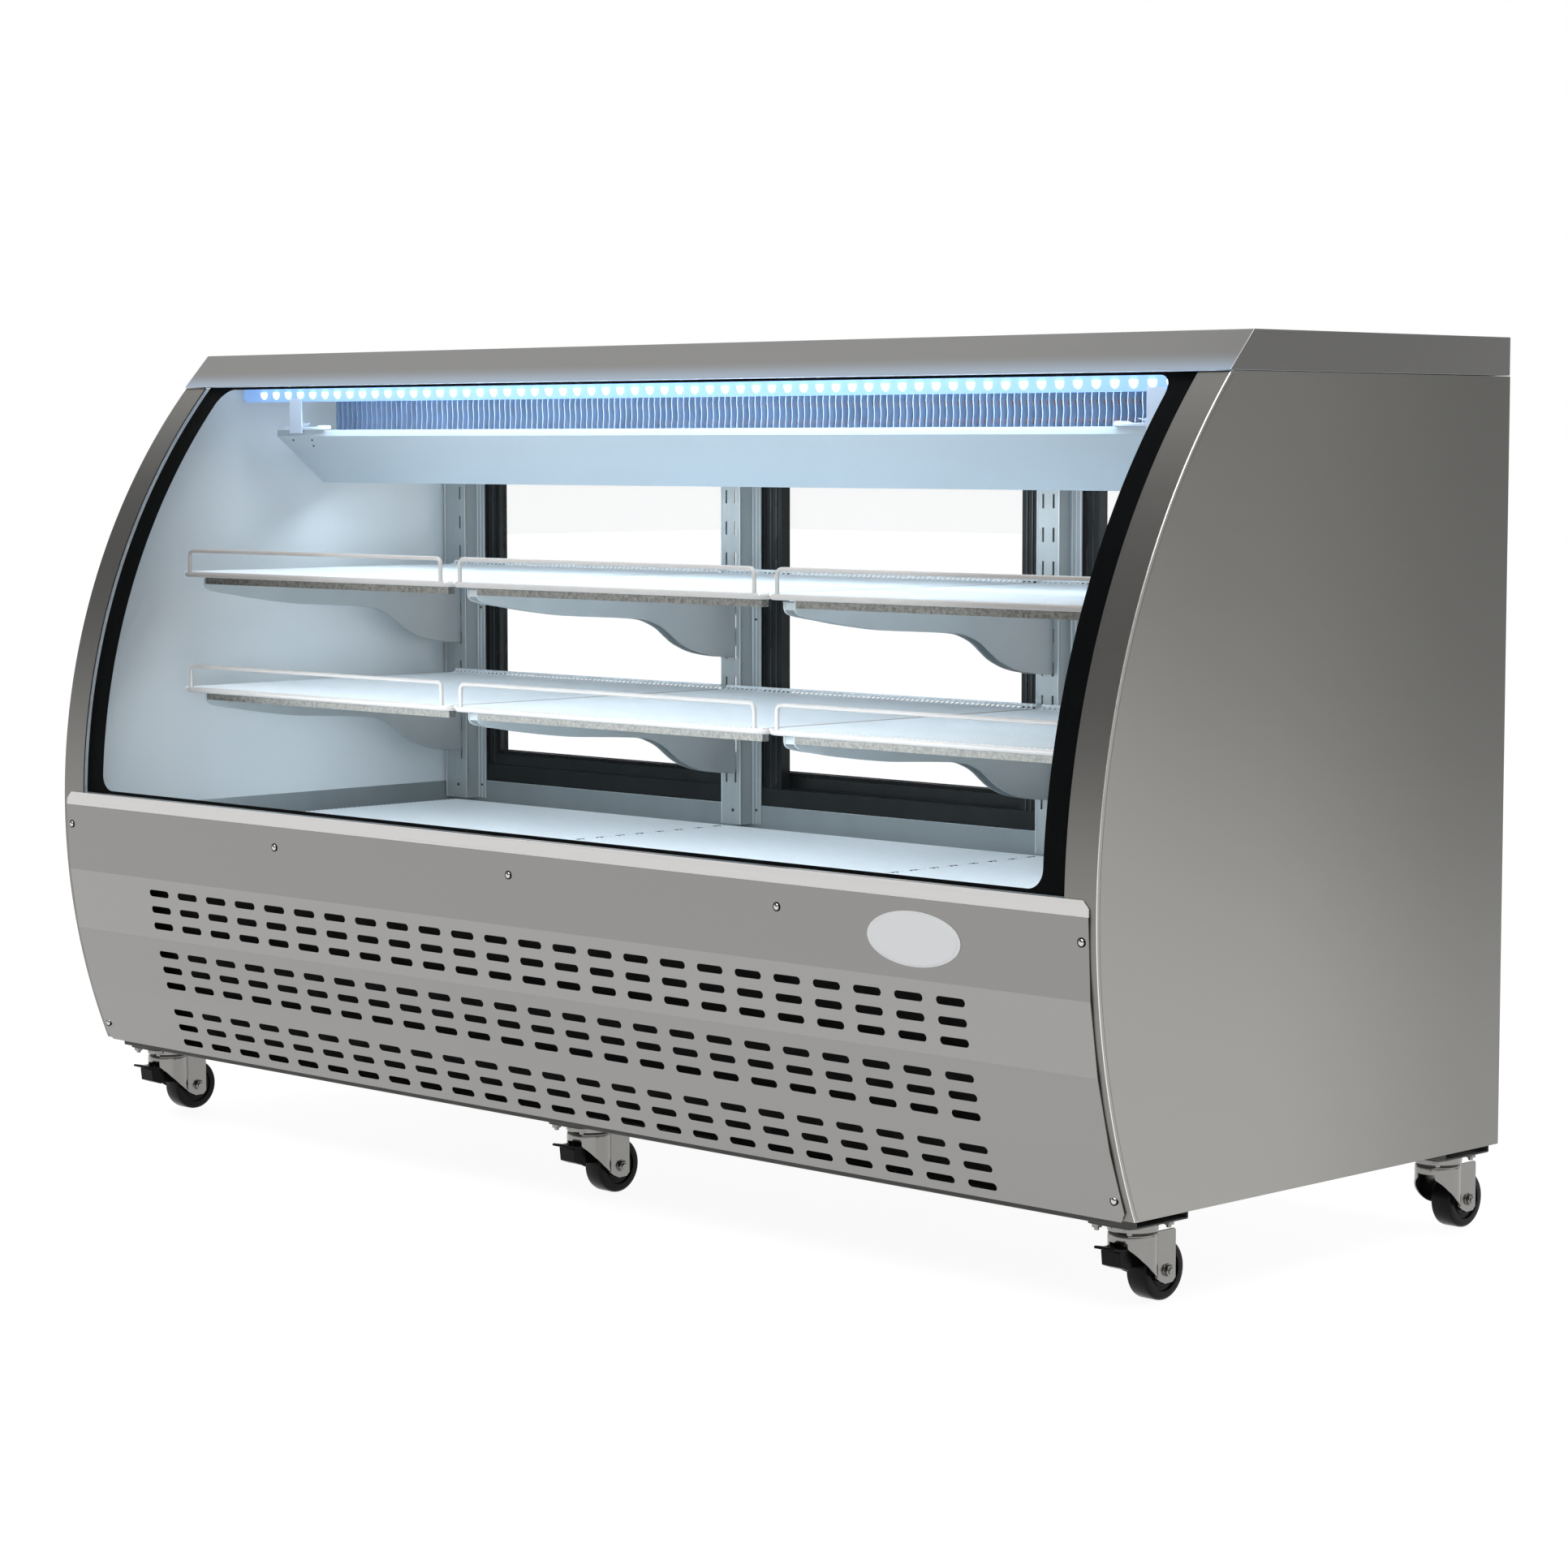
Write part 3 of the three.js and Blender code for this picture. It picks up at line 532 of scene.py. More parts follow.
glass = Shape()
glass_outline = arc_line(GLASS_RADIUS, GLASS_LOW, GLASS_HIGH, 120)
glass_outline += arc_line(GLASS_RADIUS - 6, GLASS_HIGH, GLASS_LOW, 120)
glass.along_x(glass_outline, -GLASS_HALF, GLASS_HALF)
glass.piece("curved_front_glass", "curved_glass", "curved_glass", replaces=["front_glass"])


def view_half_at(z):
    """Half width of the clear opening at a height, with rounded corners."""
    if z < VIEW_LOW or z > VIEW_HIGH:
        return 0.0
    depth = min(z - VIEW_LOW, VIEW_HIGH - z)
    if depth >= VIEW_CORNER:
        return VIEW_HALF
    return VIEW_HALF - VIEW_CORNER + math.sqrt(VIEW_CORNER ** 2 - (VIEW_CORNER - depth) ** 2)


def printed_border():
    radius = GLASS_RADIUS - 6.2
    thickness = 0.5
    corner = [VIEW_CORNER * (1 - math.cos(math.radians(5 * i))) for i in range(19)]
    straight = VIEW_HIGH - VIEW_LOW - 2 * VIEW_CORNER
    heights = [GLASS_LOW, VIEW_LOW - 0.01]
    heights += [VIEW_LOW + rise for rise in corner]
    heights += [VIEW_LOW + VIEW_CORNER + i * straight / 90 for i in range(1, 90)]
    heights += [VIEW_HIGH - rise for rise in reversed(corner)]
    heights += [VIEW_HIGH + 0.01, GLASS_HIGH]
    for sign, name in ((-1, "left"), (1, "right")):
        border = Shape()
        rings = []
        for z in heights:
            front, rear = arc_front(z, radius), arc_front(z, radius - thickness)
            outer, inner = sign * GLASS_HALF, sign * view_half_at(z)
            rings.append([(outer, front, z), (inner, front, z), (inner, rear, z), (outer, rear, z)])
        border.loft(rings)
        border.piece(f"glass_border_{name}", "frit", "curved_glass")


printed_border()

# ---- Lower front panel ----

LEDGE_TOP, LEDGE_BOTTOM = (-379.6, 500.6), (-381.0, 480.8)
CREASES = [(arc_front(z, PANEL_RADIUS), z) for z in (383.4, 292.7, 201.0, 114.8)]
FACE = [LEDGE_TOP, LEDGE_BOTTOM, *CREASES]
PANEL_HALF = 1014.0
SLOT_ROWS = [361.2, 336.4, 311.6, 268.2, 244.2, 220.2, 178.4, 155.0, 131.4]
SLOT_PITCH, SLOT_COLUMNS = 68.94, 24
SLOT_WIDTH, SLOT_HEIGHT = 46.8, 10.4


def panel_at(z):
    """Depth and lean of the panel's face at a height."""
    for (y0, z0), (y1, z1) in zip(FACE, FACE[1:]):
        if z1 <= z <= z0:
            share = (z0 - z) / (z0 - z1)
            return y0 + share * (y1 - y0), math.atan2(y1 - y0, z0 - z1)
    raise ValueError("height is off the panel")


def lean_point(x, z, across, up, out):
    """A point near (x, z) on the panel: across, up along the face, and out from it."""
    y, lean = panel_at(z)
    return (
        x + across,
        y - up * math.sin(lean) - out * math.cos(lean),
        z + up * math.cos(lean) - out * math.sin(lean),
    )


def folded_face():
    """Face line with each crease as a small bend."""
    line = [FACE[0]]
    for before, here, after in zip(FACE, FACE[1:], FACE[2:]):
        a = (Vector(before) - Vector(here)).normalized()
        b = (Vector(after) - Vector(here)).normalized()
        start, end = Vector(here) + a * 2.2, Vector(here) + b * 2.2
        for t in (0, 0.33, 0.67, 1):
            line.append(tuple(start * (1 - t) ** 2 + Vector(here) * 2 * t * (1 - t) + end * t * t))
    line.append(FACE[-1])
    for z in (491.0, 126.0):
        line.append((panel_at(z)[0], z))
    return sorted(line, key=lambda point: -point[1])


def slot_outline(width, height, steps=7):
    radius = height / 2
    outline = []
    for side in (1, -1):
        for i in range(steps + 1):
            angle = math.pi * (i / steps - 0.5)
            reach = width / 2 - radius + radius * math.cos(angle)
            outline.append((side * reach, side * radius * math.sin(angle)))
    return outline


def cut_mesh(base, cutter):
    """base minus cutter, as a new mesh in place of base's."""
    modifier = base.modifiers.new("slots", "BOOLEAN")
    modifier.object = cutter
    modifier.operation = "DIFFERENCE"
    modifier.solver = "EXACT"
    bpy.context.view_layer.update()
    graph = bpy.context.evaluated_depsgraph_get()
    result = bpy.data.meshes.new_from_object(base.evaluated_get(graph))
    base.modifiers.clear()
    base.data = result
    bpy.data.objects.remove(cutter)


def front_skin():
    line = folded_face()
    sheet = Shape()
    rings = []
    for y, z in line:
        chamfer = max(0.0, 10 - (500.6 - z)) if z > 490 else max(0.0, (126 - z) * 0.75)
        half = PANEL_HALF - chamfer
        rings.append([(-half, y, z), (half, y, z), (half, y + 1.3, z), (-half, y + 1.3, z)])
    sheet.loft(rings)
    panel = sheet.piece("front_skin", ["steel", "ledge", "steel_shade", "steel_lit"], "stainless",
                        replaces=["front_panel"])

    slots = Shape()
    outline = slot_outline(SLOT_WIDTH, SLOT_HEIGHT)
    for z in SLOT_ROWS:
        for column in range(SLOT_COLUMNS):
            x = (column - (SLOT_COLUMNS - 1) / 2) * SLOT_PITCH
            slots.prism(outline, lambda a, b, out, x=x, z=z: lean_point(x, z, a, b, out), -6, 6)
    cutter = bpy.data.objects.new("slot_cutter", mesh_from("slot_cutter", slots.points, slots.faces))
    bpy.context.scene.collection.objects.link(cutter)
    cut_mesh(panel, cutter)
    # The ledge takes the painted highlight, the top facet painted shade and the next facet painted light;
    # the lower facets keep the plain steel.
    bands = ((LEDGE_BOTTOM[1], 1), (CREASES[0][1], 2), (CREASES[1][1], 3), (0, 0))
    for face in panel.data.polygons:
        face.material_index = next(index for low, index in bands if face.center.z > low * MM)
    mark_sharp(panel.data, 12)


front_skin()

returns = Shape()
returns.box(-973.4, 973.4, -379.4, -351.6, 499.4, 500.4)
returns.box(-973.4, 973.4, -308.0, -286.8, 114.8, 116.0)
returns.piece("front_skin_returns", "steel", "stainless")

screws = Shape()
FRONT_SCREWS = [(x, 451.7) for x in (-1003, -506, 0, 506, 1003)] + [(-1003, 141.5), (1003, 141.5)]
for x, z in FRONT_SCREWS:
    dome = [(0, -2.8), (1.4, -2.75), (2.8, -2.3), (4.0, -1.5), (4.6, -0.4), (4.6, 0.6), (0, 0.6)]
    screws.turned(dome, (x, panel_at(z)[0], z), "y", 24)
screws.piece("front_screws", "screw", "stainless")
# Painted shadow: thin black rings round the screw heads stand in for the shadow gap under them.
shadow_rings = Shape()
for x, z in FRONT_SCREWS:
    shadow_rings.turned([(4.4, -1.1), (5.9, -0.9), (5.9, 0.4), (4.4, 0.4)], (x, panel_at(z)[0], z), "y", 24)
shadow_rings.piece("front_screw_shadow_rings", "plastic", "black_plastic")


def oval_badge():
    plate = Shape()
    for grow, low, high in ((1.0, -0.4, 1.1), (0.93, 0.9, 1.6)):
        outline = [
            (76.5 * grow * math.cos(math.radians(5 * i)), 34 * grow * math.sin(math.radians(5 * i)))
            for i in range(72)
        ]
        plate.prism(outline, lambda a, b, out: lean_point(737.7, 432.0, a, b, out), low, high)
    plate.piece("oval_plate", "badge", "stainless", bevel=0.4)


oval_badge()

# Painted shade: a black sheet close behind the louvres stands in for the dark compartment seen through the
# slots
shade_sheet = Shape()
shade_sheet_line = [(y + 26, z) for y, z in arc_line(PANEL_RADIUS, 122, 392, 8)]
shade_sheet.along_x(shade_sheet_line + [(y + 2, z) for y, z in reversed(shade_sheet_line)], -960, 960)
shade_sheet.piece("louvre_shade_sheet", "dark", "black_plastic")

# ---- Liner, deck racks and rear sill ----

LINER_HALF = 991.5
WELL_FLOOR, DECK_TOP, SILL_TOP = 430.0, 448.0, 477.0
BAY_EDGE, BAY_PITCH = 317.5, 632.0

paint("insulated_tub", "liner")
for node in ("end_wall_left", "end_wall_right"):
    paint(node, "wall")


def well_trim():
    trim = Shape()
    trim.box(-989.5, 989.5, 370.2, 371.3, DECK_TOP - 12, SILL_TOP - 0.4)
    for sign in (-1, 1):
        x0, x1 = sorted((sign * 989.8, sign * 988.6))
        trim.box(x0, x1, -344, 370, WELL_FLOOR + 0.5, 474)
    trim.piece("well_skirt", "grey_trim", "grey_standard", bevel=0.4)


well_trim()


def deck_racks():
    """Closely set wires along the case on cross bars, in three sections."""
    wires = Shape()
    pitch, radius = 9.0, 3.1
    for bay in (-1, 0, 1):
        centre = bay * BAY_PITCH
        for i in range(71):
            y = -299 + i * pitch
            x0, x1 = centre - 315, centre + 315
            wires.tube([(x0, y, DECK_TOP - radius), (x1, y, DECK_TOP - radius)], radius, 8)
        for i in range(9):
            x = centre - 300 + i * 75
            wires.box(x - 2, x + 2, -300, 330, WELL_FLOOR + 0.5, DECK_TOP - 4.5)
        wires.box(centre - 314, centre + 314, -300, 330, DECK_TOP - 6.2, DECK_TOP - 4.6)
    wires.piece("deck_rack_wires", "deck_wire", "coated_wire", replaces=["deck_rack"])
    # Painted shadow: small black blocks along the section seams stand in for the shade seen in the gaps.
    gap_shadows = Shape()
    for x in (-BAY_EDGE + 1.5, BAY_EDGE - 1.5):
        for i in range(16):
            y = -285 + i * 40
            gap_shadows.box(x - 2.6, x + 2.6, y - 7, y + 7, DECK_TOP - 3, DECK_TOP - 0.05)
    gap_shadows.piece("deck_rack_gap_shadows", "plastic", "black_plastic", bevel=0.3)


deck_racks()

# ---- Standards, brackets and shelves ----

END_SLOT, SLOT_OFFSET = 948.0, 9.6
SHELF_LEVELS = (("lower", 651.1), ("upper", 827.0))
BRACKET_LINE = [
    (-168, 17), (-163, 24), (-147, 29), (-110, 35), (-74, 41), (0, 50.5), (60, 54.5), (110, 57.5),
    (157, 61.5), (180, 68), (199, 77), (217, 90), (235, 101.5), (267, 114), (311, 122), (345.4, 124),
]

STANDARDS = ((-960, 26), (-BAY_EDGE, 21), (BAY_EDGE, 21), (960, 26))
SMALL_HEAD = [(0, -0.9), (1.6, -0.8), (2.4, -0.2), (2.4, 0.4), (0, 0.4)]

for number in (1, 2, 3, 4):
    paint(f"standard_{number}", "standard", 0.5, 1)


def standard_screws():
    heads = Shape()
    for centre, reach in STANDARDS:
        side = 1 if centre < 0 else -1
        for z in (470, 760, 1060):
            heads.turned(SMALL_HEAD, (centre + 4, 345.6, z), "y", 16)
            heads.turned(SMALL_HEAD, (centre + side * (reach + 10), 369.0, z), "y", 16)
    heads.piece("standard_screws", "enamel", "dark_steel")


standard_screws()


def standard_fold_highlights():
    """Painted highlights: bright strips along the bent edges of each standard."""
    folds = Shape()
    for centre, reach in STANDARDS:
        for side in (-1, 1):
            x = centre + side * (reach - 0.9)
            folds.box(x - 0.9, x + 0.9, 345.2, 347.2, DECK_TOP + 0.8, 1084.6)
            if abs(centre + side * reach) < 980:
                for step in (3.5, 11, 19):
                    x = centre + side * (reach + step)
                    folds.box(x - 0.7, x + 0.7, 368.4, 370.6, DECK_TOP + 0.8, 1084.6)
    folds.piece("standard_fold_highlights", "fold", "grey_standard", bevel=0.3)


standard_fold_highlights()


def bracket(level, number, xs, z):
    line = [(-168, 8)] + smooth_line(BRACKET_LINE, 5) + [(345.4, 8)]
    plates = Shape()
    for x in xs:
        plates.along_x([(y, z - drop) for y, drop in line], x - 1.4, x + 1.4)
        top = z - 8
        inward = -6 if x > 0 else 6
        x0, x1 = sorted((x, x + inward))
        plates.box(x0, x1, -164, 300, top - 1.6, top - 0.1)
    if len(xs) == 2:
        plates.box(xs[0], xs[1], -120, -112, z - 26, z - 18)
        plates.box(xs[0], xs[1], 320, 328, z - 70, z - 62)
        plates.box(xs[0], xs[1], -167, -165.5, z - 19, z - 9)
    plates.piece(f"bracket_plate_{level}_{number}", "bracket", "grey_bracket", bevel=0.5,
                 replaces=[f"bracket_{level}_{number}"])


def shelf(level, number, centre, z):
    frame_wire = Shape()
    reach, front, back = 310.2, -209.7, 330.0
    left, right = centre - reach, centre + reach
    loop = [(left, back, z), (left, front, z), (right, front, z), (right, back, z)]
    frame_wire.tube(rounded_path(loop, 16), 4.2, 14)
    left, right, top = centre - 295.0, centre + 295.0, z + 36
    loop = [(left, front, z), (left, front, top), (right, front, top), (right, front, z)]
    frame_wire.tube(rounded_path(loop, 10), 3.0, 12)
    frame_wire.piece(f"shelf_frame_{level}_{number}", "wire", "coated_wire")

    deck = Shape()
    count = 64
    for i in range(count):
        x = centre - 306 + i * 612 / (count - 1)
        path = [(x, front - 1.5, z + 2.9), (x, 318, z + 2.9), (x, 325, z + 4.5), (x, 329.5, z + 9.5)]
        deck.tube(path, 1.75, 6)
    left, right = centre - 309, centre + 309
    for y in (-120, 10, 140, 270):
        deck.tube([(left, y, z - 0.4), (right, y, z - 0.4)], 2.4, 8)
    deck.tube([(left, 329.8, z + 8.4), (right, 329.8, z + 8.4)], 2.2, 8)
    deck.piece(f"shelf_deck_{level}_{number}", "deck_wire", "coated_wire",
               replaces=[f"shelf_{level}_{number}"])

    # Painted shade: a grey strip under the shelf front in place of the wires' shaded undersides.
    strip = Shape()
    strip.box(centre - 270, centre + 300, -200, -188, z - 14.5, z - 4.6)
    strip.piece(f"shelf_foil_{level}_{number}", "foil", "zinc")


for level, shelf_z in SHELF_LEVELS:
    bracket(level, 1, [-END_SLOT], shelf_z)
    bracket(level, 2, [-BAY_EDGE - SLOT_OFFSET, -BAY_EDGE + SLOT_OFFSET], shelf_z)
    bracket(level, 3, [BAY_EDGE - SLOT_OFFSET, BAY_EDGE + SLOT_OFFSET], shelf_z)
    bracket(level, 4, [END_SLOT], shelf_z)
    for number, bay in enumerate((-1, 0, 1), 1):
        shelf(level, number, bay * BAY_PITCH, shelf_z)

# ---- Cooling and light under the roof ----


def drain_pan():
    pan = Shape()
    path = [(-62, 1046), (-62, 1036.6), (28, 965), (196, 965), (196, 1040)]
    inner = [(194.8, 1040), (194.8, 966.2), (28.5, 966.2), (-60.8, 1037.1), (-60.8, 1046)]
    pan.along_x(path + inner, -899, 899)
    for x0 in (-899, 897.8):
        pan.along_x([(-61.9, 1036.7), (28, 965.1), (195.9, 965.1), (195.9, 1036.7)], x0, x0 + 1.2)
    pan.piece("drain_pan_sheet", "pan", "white_liner", replaces=["drain_pan"])
    dots = Shape()
    for x, y, z in ((-868, -55, 1030.8), (-822, -55, 1030.8), (-832, -44, 1022), (822, -55, 1030.8)):
        dots.turned([(0, -0.7), (1.6, -0.6), (2.2, 0), (2.2, 0.5), (0, 0.5)], (x, y - 0.4, z), "y", 14)
    dots.piece("drain_pan_screws", "zinc", "zinc")


drain_pan()


def coil():
    """Wavy fins on copper tubes with return bends at the left end."""
    fins = Shape()
    steps = 18
    count = 148
    for i in range(count):
        x = -882 + i * 1764 / (count - 1)
        rings = []
        for k in range(steps + 1):
            z = 992.5 + 107 * k / steps
            sway = 0.8 * math.sin(k * 1.15 + 0.35 * math.sin(i))
            left, right = x + sway - 0.7, x + sway + 0.7
            rings.append([(left, 42.5, z), (right, 42.5, z), (right, 121.5, z), (left, 121.5, z)])
        fins.loft(rings)
    fins.piece("coil_fins", "fin", "fin_aluminium", replaces=["evaporator_coil"])
    plates = Shape()
    for x in (-500, 500):
        plates.box(x - 15, x + 15, 80, 84, 1099, 1111)
    plates.box(-880, 880, 118, 121, 994, 1098)
    plates.piece("coil_rear_plate", "standard", "fin_aluminium", bevel=0.4)
    # Painted shade: both end plates take the dark blue-black colour.
    ends = Shape()
    for x in (-884, 882.6):
        ends.box(x, x + 1.4, 42, 122, 992, 1100)
    ends.piece("coil_end_plates", "fin_shade", "fin_aluminium", bevel=0.4)
    tubes = Shape()
    for y, low in ((56, 1006), (106, 1018)):
        for row in range(4):
            z = low + 24 * row
            tubes.tube([(-886, y, z), (884, y, z)], 4.6, 10)
    turns = [math.radians(15 * k) for k in range(13)]
    for y, z in ((56, 1018), (56, 1066), (106, 1054), (106, 1030)):
        tubes.tube([(-885 - 7 * math.sin(a), y, z - 12 * math.cos(a)) for a in turns], 4.4, 10)
    tubes.piece("coil_tubes", "copper", "fin_aluminium")


coil()

LED_PITCH, LED_COUNT = 30.0, 63


def light_bar():
    bar = Shape()
    low, high, end = 1088.5, 1110.8, 984.0
    outline = []
    for sign in (1, -1):
        for i in range(9):
            angle = math.radians(-90 + 22.5 * i)
            x = sign * (end - 11 + 11 * math.cos(angle))
            outline.append((x, sign * 11 * math.sin(angle) + (low + high) / 2))
    bar.along_y(outline, -62, -55)
    bar.piece("light_lens_bar", "lens", "light_lens", bevel=1.2, replaces=["light_bar"])

    domes = Shape()
    for i in range(LED_COUNT):
        x = (i - (LED_COUNT - 1) / 2) * LED_PITCH
        dome = [(0, -10.4), (2.6, -9.9), (4.8, -8.3), (6.3, -6.0), (6.9, -3.2), (6.9, 0), (0, 0)]
        domes.turned(dome, (x, -60, 1103), "z", 20)
    domes.piece("light_domes", "led", "light_lens")

    # Painted light: the posts glow faintly for the bar's light on them.
    posts = Shape()
    foot = [(-29, 1046.4), (-29, 1050), (-26, 1052.4), (30, 1050.4), (50, 1050.4), (55, 1052.6),
            (66, 1052.6), (67, 1050), (67, 1046.4)]
    tab = [(15, 1050), (31, 1056.5), (22, 1055.5), (15, 1057)]
    for side in (-1, 1):
        x = side * 848.5
        posts.box(x - 15, x + 15, -66, -63.6, 1041, 1094)
        posts.along_y([(x - side * a, z) for a, z in foot], -65.8, -50)
        posts.along_y([(x - side * a, z) for a, z in tab], -64, -60)
    posts.piece("light_posts", "bright_white", "light_lens", bevel=0.8)


light_bar()

# ---- Rear doorway and sliding doors ----


paint("rear_frame", "black_frame", 0.8)

DOORS = {
    "left": (-935.4, -241.0, 42.0, 56.0, 378.0),
    "middle": (-362.0, 362.0, 56.0, 56.0, 403.0),
    "right": (241.0, 935.4, 56.0, 42.0, 378.0),
}
DOOR_LOW, DOOR_HIGH = 498.0, 1084.4


def soft_root(value):
    """Square root that keeps the sign, which squares up a ring."""
    return math.copysign(abs(value) ** 0.5, value)


def door_details(side):
    x0, x1, left_stile, right_stile, y = DOORS[side]
    body = f"door_{side}"
    paint(f"door_frame_{side}", "black_frame", 1.0)
    paint(f"door_glass_{side}", "door_glass")
    left, right, low, high = x0 + left_stile, x1 - right_stile, DOOR_LOW + 26, DOOR_HIGH - 40

    ribs = Shape()
    for start, width in ((x0, left_stile), (right, right_stile)):
        for share in (0.18, 0.36, 0.62, 0.82):
            x = start + width * share
            ribs.box(x - 0.9, x + 0.9, y - 1.4, y + 0.4, DOOR_LOW + 4, DOOR_HIGH - 4)
    ribs.piece(f"stile_ribs_{side}", "rib", "black_frame", body)

    gasket = Shape()
    for a, b, c, d in (
        (left - 2, left + 4, low - 2, high + 2), (right - 4, right + 2, low - 2, high + 2),
        (left - 2, right + 2, low - 2, low + 4), (left - 2, right + 2, high - 4, high + 2),
    ):
        gasket.box(a, b, y - 0.8, y + 2.8, c, d)
        gasket.box(a, b, y + 15.2, y + 18.8, c, d)
    gasket.piece(f"door_gasket_{side}", "plastic", "black_frame", body, bevel=0.5)

    pull = Shape()
    pull_x = x1 - right_stile / 2 if side == "left" else x0 + left_stile / 2
    rear = y + 18
    ring = []
    for i in range(40):
        angle = 2 * math.pi * i / 40
        ring.append((11 * soft_root(math.cos(angle)), 62 * soft_root(math.sin(angle))))
    rings = []
    for wide, tall, out in ((1, 1, -0.4), (1, 1, 3.6), (0.62, 0.88, 3.6), (0.62, 0.88, -0.4)):
        rings.append([(pull_x + a * wide, rear + out, 790 + b * tall) for a, b in ring])
    pull.loft(rings, closed=True)
    pull.piece(f"door_pull_{side}", "standard", "grey_standard", body, bevel=0.6)


for side in DOORS:
    door_details(side)

# ---- Machine compartment ----

paint("rear_panel", "steel", 0.5)
paint("light_switch", "plastic", 0.8)
paint("condenser", "fin")
paint("condenser_fan_blade", "plastic", 0.8)


def rear_trim():
    """Thin stainless strips over the foam edges round the door frame."""
    frame_low, frame_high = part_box("rear_frame")
    panel_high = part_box("rear_panel")[1]
    reach = frame_high.x / MM + 0.5
    trim = Shape()
    y0, y1 = BACK_Y + 0.2, BACK_Y + 0.9
    trim.box(-reach + 1, reach - 1, y0, y1, panel_high.z / MM + 0.6, frame_low.z / MM - 0.6)
    for side in (-1, 1):
        x0, x1 = sorted((side * reach, side * (HALF - 0.4)))
        trim.box(x0, x1, y0, y1, SIDE_LOW + 3, SIDE_HIGH - 0.6)
    trim.piece("rear_trim", "steel_cap", "stainless")


rear_trim()

can = Shape()
can_profile = [
    (0, 132), (78, 132), (90, 142), (94, 160), (96, 200), (97, 204), (97, 212), (96, 216), (95, 250),
    (90, 276), (76, 298), (52, 313), (24, 319), (0, 320),
]
can.turned(can_profile, (520, 120, 0), "z", 56)
can.box(400, 640, 42, 198, 119.8, 124)
for dx in (-95, 95):
    for dy in (-60, 60):
        can.turned([(0, 124), (14, 124), (12, 133), (4, 135), (0, 135)], (520 + dx, 120 + dy, 0), "z", 20)
can.piece("compressor_can", "enamel", "black_enamel", replaces=["compressor"])
pipes = Shape()
suction = [(560, 120, 310), (560, 120, 343), (560, 205, 343), (240, 205, 343), (234, 205, 300)]
pipes.tube(rounded_path(suction, 14), 5, 12)
discharge = [(470, 120, 300), (470, 120, 338), (470, 40, 338), (240, 40, 338)]
pipes.tube(rounded_path(discharge, 14), 4, 12)
pipes.piece("compressor_pipes", "copper", "black_enamel")

rear_screws = Shape()
rear_head = [(0, 1.6), (2.6, 1.4), (4.2, 0.6), (4.4, 0), (4.4, -0.6), (0, -0.6)]
for x in (-960, -480, 0, 480, 960):
    for z in (132, 384):
        rear_screws.turned(rear_head, (x, 428, z), "y", 20)
rear_screws.piece("rear_panel_screws", "screw", "stainless")

# ---- Base rails and casters ----

RAIL_HALF, RAIL_WIDTH, RAIL_LOW, RAIL_HIGH = 1009.0, 97.6, 103.0, 116.0
AXES = {"front": -236.5, "rear": 384.0}
CASTERS = {"left": -964.0, "mid": 0.0, "right": 964.0}
TRAIL, WHEEL_RADIUS = 42.0, 37.4


def base_rails():
    rails = Shape()
    for axis_y in AXES.values():
        y0, y1 = axis_y - RAIL_WIDTH / 2, axis_y + RAIL_WIDTH / 2
        section = [
            (y0, RAIL_LOW + 1.2), (y0 + 1.2, RAIL_LOW), (y1 - 1.2, RAIL_LOW), (y1, RAIL_LOW + 1.2),
            (y1, RAIL_HIGH), (y1 - 2, RAIL_HIGH), (y1 - 2, RAIL_LOW + 2), (y0 + 2, RAIL_LOW + 2),
            (y0 + 2, RAIL_HIGH), (y0, RAIL_HIGH),
        ]
        rails.along_x(section, -RAIL_HALF, RAIL_HALF)
    rails.box(-LINER_HALF, LINER_HALF, -280, 425, 115.9, 118.7)
    rails.piece("base_rails", "rail", "dark_steel", replaces=["base_frame"])

    mounting = Shape()
    plates = Shape()
    race = [(0, 90.2), (30, 90.2), (31, 91.2), (31, 99.2), (30, 100.2), (0, 100.2)]
    nut = [(0, 95), (6.2, 95), (6.9, 95.8), (6.9, 100.4), (0, 100.4)]
    stud = [(0, 91.4), (2.6, 91.4), (3.2, 92), (3.2, 96), (0, 96)]
    for axis_y in AXES.values():
        for x in CASTERS.values():
            mounting.along_z(rounded_rectangle(x, axis_y, 35, 46.5, 8), RAIL_LOW - 2.8, RAIL_LOW - 0.1)
            plates.turned(race, (x, axis_y, 0), "z", 56)
            for dx in (-25.4, 25.4):
                for dy in (-36.5, 36.5):
                    plates.turned(nut, (x + dx, axis_y + dy, 0), "z", 6, 0.3)
                    plates.turned(stud, (x + dx, axis_y + dy, 0), "z", 14)
    mounting.piece("caster_plates", "rail", "dark_steel", bevel=0.3)
    plates.piece("caster_races", "zinc", "zinc", bevel=0.3)


def rounded_rectangle(x, y, half_x, half_y, radius):
    outline = []
    for sx, sy, start in ((1, 1, 0), (-1, 1, 90), (-1, -1, 180), (1, -1, 270)):
        for i in range(7):
            angle = math.radians(start + 15 * i)
            corner_x, corner_y = x + sx * (half_x - radius), y + sy * (half_y - radius)
            outline.append((corner_x + radius * math.cos(angle), corner_y + radius * math.sin(angle)))
    return outline


base_rails()

LEG_LINE = [(22, 87.4), (55, 87.4), (57.5, 85), (57.5, 27), (52, 22), (38, 21.4), (28, 26), (20, 31.5)]
SKIRT_EDGE = [
    (-32, 77.6), (-27.3, 76), (-26.2, 71), (-20, 64.4), (-13.4, 57), (-5, 49.4), (3.2, 42), (12, 35.4),
    (20, 31.6), (26.5, 30),
]


